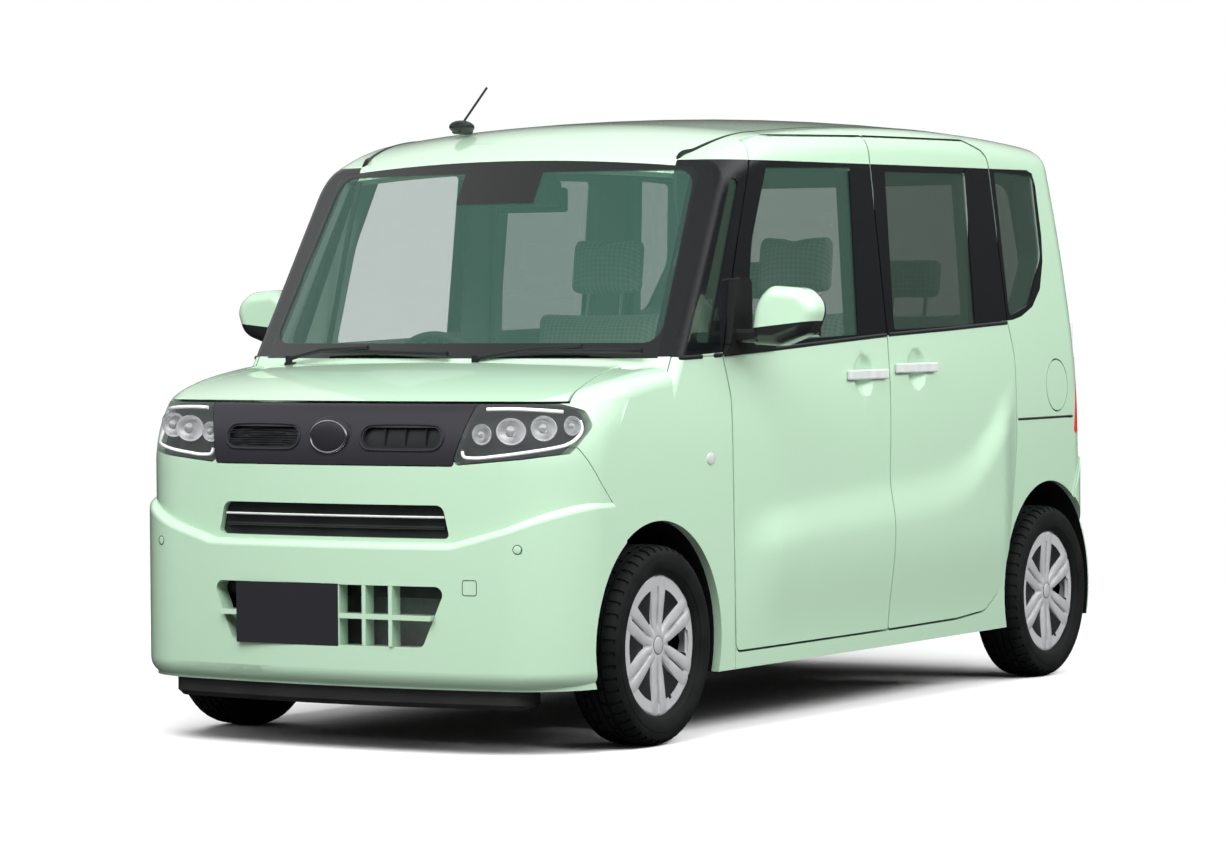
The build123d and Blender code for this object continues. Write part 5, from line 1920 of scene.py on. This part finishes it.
@dataclass
class Seats:
    """Padded seats, blown up with Blender's cloth from tight covers."""

    voxel: float = 0.011
    corner: float = 0.022
    sharp: float = 0.5
    pressure: float = 4.0
    frames: int = 20
    swell: float = 0.024
    plump: float = 0.7
    post_gap: float = 0.06
    post_radius: float = 0.0065
    post_ends: tuple[Pair, Pair] = ((-0.014, -0.06), (0.012, 0.05))
    bases: tuple[tuple[str, Look, Point, Point, float], ...] = (
        ("seat_base", Look.BLACK, (0.14, -0.23, 0.349), (0.52, 0.16, 0.558), 0.02),
        ("seat_side", Look.TRIM, (0.565, -0.26, 0.47), (0.583, 0.22, 0.60), 0.008))
    plinth: tuple[Point, Point, float] = ((-0.47, 0.735, 0.474), (0.47, 1.075, 0.535), 0.01)

    def core(self, name: str, pad: Pad) -> bpy.types.Object:
        """A pad's starting block, rounded and in an even net.

        Args:
            name: The piece's name.
            pad: The pad.

        Returns:
            The new piece.
        """
        count = len(pad.section)
        points = [(x, y, z) for x in (pad.low, pad.high) for y, z in pad.section]
        faces = [tuple(range(count))[::-1], tuple(range(count, 2 * count))]
        faces += [(i, (i + 1) % count, count + (i + 1) % count, count + i) for i in range(count)]
        mesh = bpy.data.meshes.new(name)
        mesh.from_pydata(points, [], faces)
        obj = Bench.fresh(name, mesh)
        Bench.edit(obj, everything=True)
        bpy.ops.mesh.normals_make_consistent(inside=False)
        Bench.done()
        Bench.soften(obj, self.corner, segments=4, sharp=self.sharp)
        return Bench.modify(obj, "REMESH", mode="VOXEL", voxel_size=self.voxel)

    def blow(self, obj: bpy.types.Object) -> None:
        """Fill the cover with air, and hold each point within the swell of its start.

        Args:
            obj: The cover.
        """
        start = [v.co.copy() for v in obj.data.vertices]
        Bench.take(obj)
        cloth = obj.modifiers.new("cover", "CLOTH")
        cloth.settings.use_pressure = True
        cloth.settings.uniform_pressure_force = self.pressure
        cloth.settings.effector_weights.gravity = 0.0
        cloth.settings.quality = 4
        cloth.point_cache.frame_start, cloth.point_cache.frame_end = 1, self.frames
        for step in range(1, self.frames + 1):
            bpy.context.scene.frame_set(step)
        bpy.ops.object.modifier_apply(modifier=cloth.name)
        bpy.context.scene.frame_set(1)
        for vertex, home in zip(obj.data.vertices, start):
            move = vertex.co - home
            if move.length > self.swell:
                vertex.co = home + move * (self.swell / move.length)

    def pad(self, name: str, pad: Pad) -> bpy.types.Object:
        """One padded piece.

        Args:
            name: The piece's name.
            pad: The pad.

        Returns:
            The new piece.
        """
        obj = self.core(name, pad)
        self.blow(obj)
        Bench.modify(obj, "SMOOTH", factor=0.5, iterations=3)
        return Bench.modify(obj, "SUBSURF", levels=1, render_levels=1)

    def posts(self, row: SeatRow) -> bpy.types.Object:
        """The bright posts of a row's head restraints.

        Args:
            row: The row.

        Returns:
            The new piece.
        """
        across, along, up = row.posts
        bars = []
        for side in (-1, 1):
            for offset in (-self.post_gap, self.post_gap):
                ends = [(side * across + offset, along + y, up + z) for y, z in self.post_ends]
                bars.append(Bench.drum("post", *ends, self.post_radius, sides=20))
        return Bench.join(f"{row.word}_headrest_posts", bars)

    def build(self) -> None:
        """Both rows, each pad made once and copied across, and the plinths under them."""
        for row in SEAT_ROWS:
            pads = []
            for pad in row.pads:
                left = self.pad(f"{row.word}_{pad.name}_left", pad)
                pads += [left, Bench.mirrored(left, f"{row.word}_{pad.name}_right")]
            posts = self.posts(row)
            for piece in pads:
                Bench.settle(piece, Look.CLOTH, "body", (row.node,), angle=180.0)
            Bench.settle(posts, Look.CHROME, "body", (row.node,))
        for side, word in SIDES:
            for name, look, low, high, corner in self.bases:
                left, right = sorted((side * low[0], side * high[0]))
                base = Bench.block(f"{name}_{word}", (left, *low[1:]), (right, *high[1:]), corner)
                Bench.settle(base, look, "body", ("front_seats",))
        Bench.settle(Bench.block("rear_seat_plinth", *self.plinth), Look.BLACK, "body", ("rear_seat",))


@dataclass
class DashFittings:
    """What stands on the dashboard: the instrument hood and face, the screen, the controls and the vents."""

    hood: tuple[Point, Point] = ((-0.20, -0.90, -0.02), (0.20, -0.72, 0.038))
    hood_corner: float = 0.018
    hood_rim: float = 0.008
    hood_deep: float = 0.05
    hood_square: float = 0.9
    dials: tuple[Point, Point] = ((-0.18, -0.775, -0.008), (0.18, -0.771, 0.026))
    top_y: float = -0.80
    face_from: Point = (0.0, 0.5, 0.86)
    boards: tuple[tuple[str, Look, Point, Point, float], ...] = (
        ("centre_screen", Look.GLOSS_BLACK, (-0.115, -0.006, 0.80), (0.115, 0.012, 0.93), 0.004),
        ("control_panel", Look.SATIN_BLACK, (-0.11, -0.02, 0.71), (0.11, 0.010, 0.79), 0.006))
    vents: tuple[float, ...] = (-0.60, -0.17, 0.17, 0.60)
    vent: tuple[Point, Point] = ((-0.052, -0.02, 0.858), (0.052, 0.007, 0.924))
    vent_rim: float = 0.005
    vent_deep: float = 0.012
    vane: tuple[Point, Point] = ((-0.045, -0.012, -0.0016), (0.045, 0.006, 0.0016))
    vanes: int = 4
    vane_first: float = 0.868
    vane_pitch: float = 0.015

    def build(self) -> None:
        """Each fitting sits on the dashboard's top or face."""
        skin = Skin("dashboard")
        top = skin.above(0.0, self.top_y).z
        face = skin.hit(self.face_from, (0, -1, 0)).y
        hood = Bench.block("instrument_hood", *moved(self.hood, z=top), self.hood_corner, segments=4)
        Bench.recess(hood, (0, 1, 0), self.hood_rim, self.hood_deep, self.hood_square)
        Bench.settle(hood, Look.DASH)
        dials = Bench.block("instrument_face", *moved(self.dials, z=top), round_off=0.001)
        Bench.settle(dials, Look.GLOSS_BLACK)
        for name, look, low, high, corner in self.boards:
            Bench.settle(Bench.block(name, *moved((low, high), y=face), corner), look)
        for index, x in enumerate(self.vents):
            parts = []
            for row in range(self.vanes):
                level = self.vane_first + row * self.vane_pitch
                vane = Bench.block("vane", *moved(self.vane, x, face, level), round_off=0.0008, segments=2)
                parts.append(vane)
            surround = Bench.block("vent_frame", *moved(self.vent, x, face), round_off=0.006)
            Bench.recess(surround, (0, 1, 0), self.vent_rim, self.vent_deep)
            Bench.settle(Bench.join(f"vent_{index}", [*parts, surround]), Look.SATIN_BLACK)


@dataclass
class CameraPod:
    """The twin-eyed housing behind the windscreen."""

    pod: tuple[Point, Point, float] = ((-0.112, -0.742, 1.470), (0.112, -0.640, 1.545), 0.012)
    eye_x: float = 0.052
    eye: tuple[Point, Point] = ((-0.03, -0.748, 1.480), (0.03, -0.738, 1.525))
    rim: float = 0.006
    deep: float = 0.008

    def build(self) -> None:
        """Two eye wells in a black block that hangs from the glass."""
        Bench.settle(Bench.block("camera_pod", *self.pod), Look.SATIN_BLACK)
        for side, word in reversed(SIDES):
            low, high = ((side * self.eye_x + x, y, z) for x, y, z in self.eye)
            well = Bench.block(f"camera_well_{word}", low, high, round_off=0.004)
            Bench.recess(well, (0, -1, 0), self.rim, self.deep)
            Bench.settle(well, Look.GLOSS_BLACK)


# ---------------------------------------------------------------- the tail
@dataclass
class TailTrim:
    """Lamp segments, reflectors and the garnish over the plate recess."""

    segment_x: float = 0.655
    segments: Point = (0.860, 0.980, 1.090)
    segment: tuple[Point, Point] = ((-0.022, -0.004, -0.030), (0.022, 0.0015, 0.030))
    reflector_place: Pair = (0.52, 0.43)
    reflector: tuple[Point, Point] = ((-0.06, -0.006, 0.415), (0.06, 0.004, 0.445))
    garnish_level: float = 0.815
    garnish: tuple[Point, Point] = ((-0.26, -0.01, 0.800), (0.26, 0.008, 0.826))

    def build(self) -> None:
        """All of it, seated on the tail."""
        skin = Skin("tail_lamps", "tailgate", "rear_bumper", "body_shell", "tailgate_glass")
        for side, word in SIDES:
            bars = []
            for z in self.segments:
                spot = skin.rear(side * self.segment_x, z)
                corners = moved(self.segment, side * self.segment_x, spot.y, z)
                bars.append(Bench.block("segment", *corners, round_off=0.003))
            Bench.settle(Bench.join(f"tail_segments_{word}", bars), Look.LENS)
            x, z = self.reflector_place
            spot = skin.rear(side * x, z)
            corners = moved(self.reflector, side * x, spot.y)
            reflector = Bench.block(f"rear_reflector_{word}", *corners, round_off=0.003)
            Bench.settle(reflector, Look.RED)
        spot = skin.rear(0.0, self.garnish_level)
        garnish = Bench.block("tailgate_garnish", *moved(self.garnish, y=spot.y), round_off=0.006)
        Bench.settle(garnish, Look.SATIN, "tailgate")


# ---------------------------------------------------------------- studio and camera
@dataclass
class Studio:
    """A pale floor, a wide overhead soft light and weaker side lights."""

    floor_tone: Point = (0.90, 0.90, 0.90)
    floor_cloud: float = 0.985
    bounce_tone: Point = (0.20, 0.20, 0.20)
    mirrored_tone: Point = (0.02, 0.02, 0.02)
    fade: Pair = (2.2, 5.5)
    floor_half: float = 30.0
    sky: Pair = (0.10, 0.42)
    mirrored_sky: tuple[Pair, ...] = (  # how high, from 0 to overhead at 1, and how bright
        (0.0, 0.03), (0.22, 0.12), (0.5, 0.75), (0.68, 0.6), (0.88, 0.22), (1.0, 0.22))
    lamps: tuple[tuple[str, Point, Point, Pair, float], ...] = (  # name, place, target, size and watts
        ("overhead", (0.6, -4.8, 5.2), (0.0, -1.0, 0.9), (5.0, 3.6), 600.0),
        ("left_wall", (4.4, -0.4, 3.4), (0.7, 0.3, 0.8), (6.0, 2.0), 305.0),
        ("nose_wall", (-2.4, -7.2, 3.2), (0.0, -1.6, 0.6), (5.0, 2.4), 75.0),
        ("tail_wall", (4.2, 5.2, 2.8), (0.6, 1.4, 1.0), (2.4, 2.4), 170.0),
        ("right_wall", (-4.6, 4.6, 3.4), (-0.4, 0.6, 0.9), (4.0, 3.0), 260.0))

    def floor(self) -> None:
        """A floor that goes beyond the view, and turns to plain white away from the car."""
        bpy.ops.object.select_all(action="DESELECT")
        bpy.ops.mesh.primitive_plane_add(size=2 * self.floor_half, location=(0, 0, 0))
        plane = bpy.context.object
        plane.name = "studio_floor"
        graph = Graph("studio_floor")
        cloud = graph.noise(0.6)
        across, along, _ = graph.axes()
        seen = graph.node("LightPath").outputs["Is Camera Ray"]
        far = graph.times(graph.ease(graph.reach(across, along), *self.fade), seen)
        near = graph.mix(cloud, self.floor_tone, tuple(c * self.floor_cloud for c in self.floor_tone))
        mirrored = graph.node("LightPath").outputs["Is Glossy Ray"]
        near = graph.mix(seen, graph.mix(mirrored, self.bounce_tone, self.mirrored_tone), near)
        graph.set(Base_Color=graph.mix(far, near, (0.0, 0.0, 0.0)), Roughness=0.75, Specular_IOR_Level=0.0)
        graph.set(Emission_Color=(1.0, 1.0, 1.0), Emission_Strength=far)
        plane.data.materials.append(graph.material)

    def sky_light(self) -> None:
        """A white surround to look at, with one brightness that lights and another that is mirrored."""
        world = bpy.data.worlds.new("studio")
        bpy.context.scene.world = world
        world.use_nodes = True
        tree = world.node_tree
        tree.nodes.clear()
        out, blend, seen, lit, eye, where, split, ramp, mirror, strength = (
            tree.nodes.new("ShaderNode" + kind) for kind in
            ("OutputWorld", "MixShader", "Background", "Background", "LightPath", "TexCoord", "SeparateXYZ",
             "MapRange", "ValToRGB", "Mix"))
        ramp.inputs["To Min"].default_value, ramp.inputs["To Max"].default_value = self.sky
        stops = mirror.color_ramp.elements
        while len(stops) < len(self.mirrored_sky):
            stops.new(0.5)
        for stop, (height, _) in zip(stops, self.mirrored_sky):
            stop.position = height
        for stop, (_, bright) in zip(stops, self.mirrored_sky):
            stop.color = (bright, bright, bright, 1.0)
        wires = ((where.outputs["Generated"], split.inputs[0]), (split.outputs[2], ramp.inputs["Value"]),
                 (split.outputs[2], mirror.inputs["Fac"]), (eye.outputs["Is Glossy Ray"], strength.inputs[0]),
                 (ramp.outputs[0], strength.inputs[2]), (mirror.outputs[0], strength.inputs[3]),
                 (strength.outputs[0], lit.inputs["Strength"]),
                 (eye.outputs["Is Camera Ray"], blend.inputs[0]),
                 (lit.outputs[0], blend.inputs[1]), (seen.outputs[0], blend.inputs[2]),
                 (blend.outputs[0], out.inputs["Surface"]))
        for start, end in wires:
            tree.links.new(start, end)
        for ground in (seen, lit):
            ground.inputs["Color"].default_value = (1, 1, 1, 1)
        seen.inputs["Strength"].default_value = 1.0

    def soft_boxes(self) -> None:
        """The lamps, which light the car and aren't mirrored in it."""
        for name, place, target, size, power in self.lamps:
            data = bpy.data.lights.new(name, "AREA")
            data.shape = "RECTANGLE"
            data.size, data.size_y = size
            data.energy = power
            lamp = Bench.fresh(name, data)
            lamp.location = place
            lamp.visible_glossy = False
            lamp.rotation_euler = (Vector(target) - Vector(place)).to_track_quat("-Z", "Y").to_euler()

    def build(self) -> None:
        """Floor, lights and how the picture is developed."""
        self.floor()
        self.sky_light()
        self.soft_boxes()
        bpy.context.scene.view_settings.view_transform = "Standard"
        LOG.info("studio built")


@dataclass
class Viewpoint:
    """Where the camera stands and how it looks: angles in degrees, lens and sensor in millimetres."""

    place: Point = (6.5388522, -11.17157614, 1.1835629)
    yaw: float = 30.738825
    pitch: float = 1.633977
    roll: float = -0.367452
    lens: float = 126.58
    sensor: float = 36.0
    farthest: float = 200.0

    def build(self) -> None:
        """Make the scene's camera."""
        yaw, pitch, roll = (math.radians(a) for a in (self.yaw, self.pitch, self.roll))
        ahead = Vector((-math.sin(yaw) * math.cos(pitch), math.cos(yaw) * math.cos(pitch), -math.sin(pitch)))
        level = Vector((math.cos(yaw), math.sin(yaw), 0.0))
        upright = level.cross(ahead)
        right = math.cos(roll) * level + math.sin(roll) * upright
        up = -math.sin(roll) * level + math.cos(roll) * upright
        data = bpy.data.cameras.new("camera")
        data.sensor_width, data.lens = self.sensor, self.lens
        data.clip_end = self.farthest
        camera = Bench.fresh("camera", data)
        turn = Matrix((right, up, -ahead)).transposed()
        camera.matrix_world = Matrix.Translation(self.place) @ turn.to_4x4()
        bpy.context.scene.camera = camera
        LOG.info("camera placed")


def main() -> None:
    """Build the car's finishes and pieces, then the studio and the camera."""
    logging.basicConfig(level=logging.INFO, format="%(message)s")
    parts = (FrameFinishes(), Pressings(), Badge(), GrilleTrim(), IntakeBar(), BumperFittings(), Headlamps(),
             SideMarkers(), BeltTrim(), SlideRails(), AntennaFoot(), RoofDitch(), MirrorGlass(), Wheels(),
             Seats(), DashFittings(), CameraPod(), TailTrim(), Studio(), Viewpoint())
    for part in parts:
        LOG.info("-- %s", type(part).__name__)
        part.build()


if __name__ == "__main__":
    main()
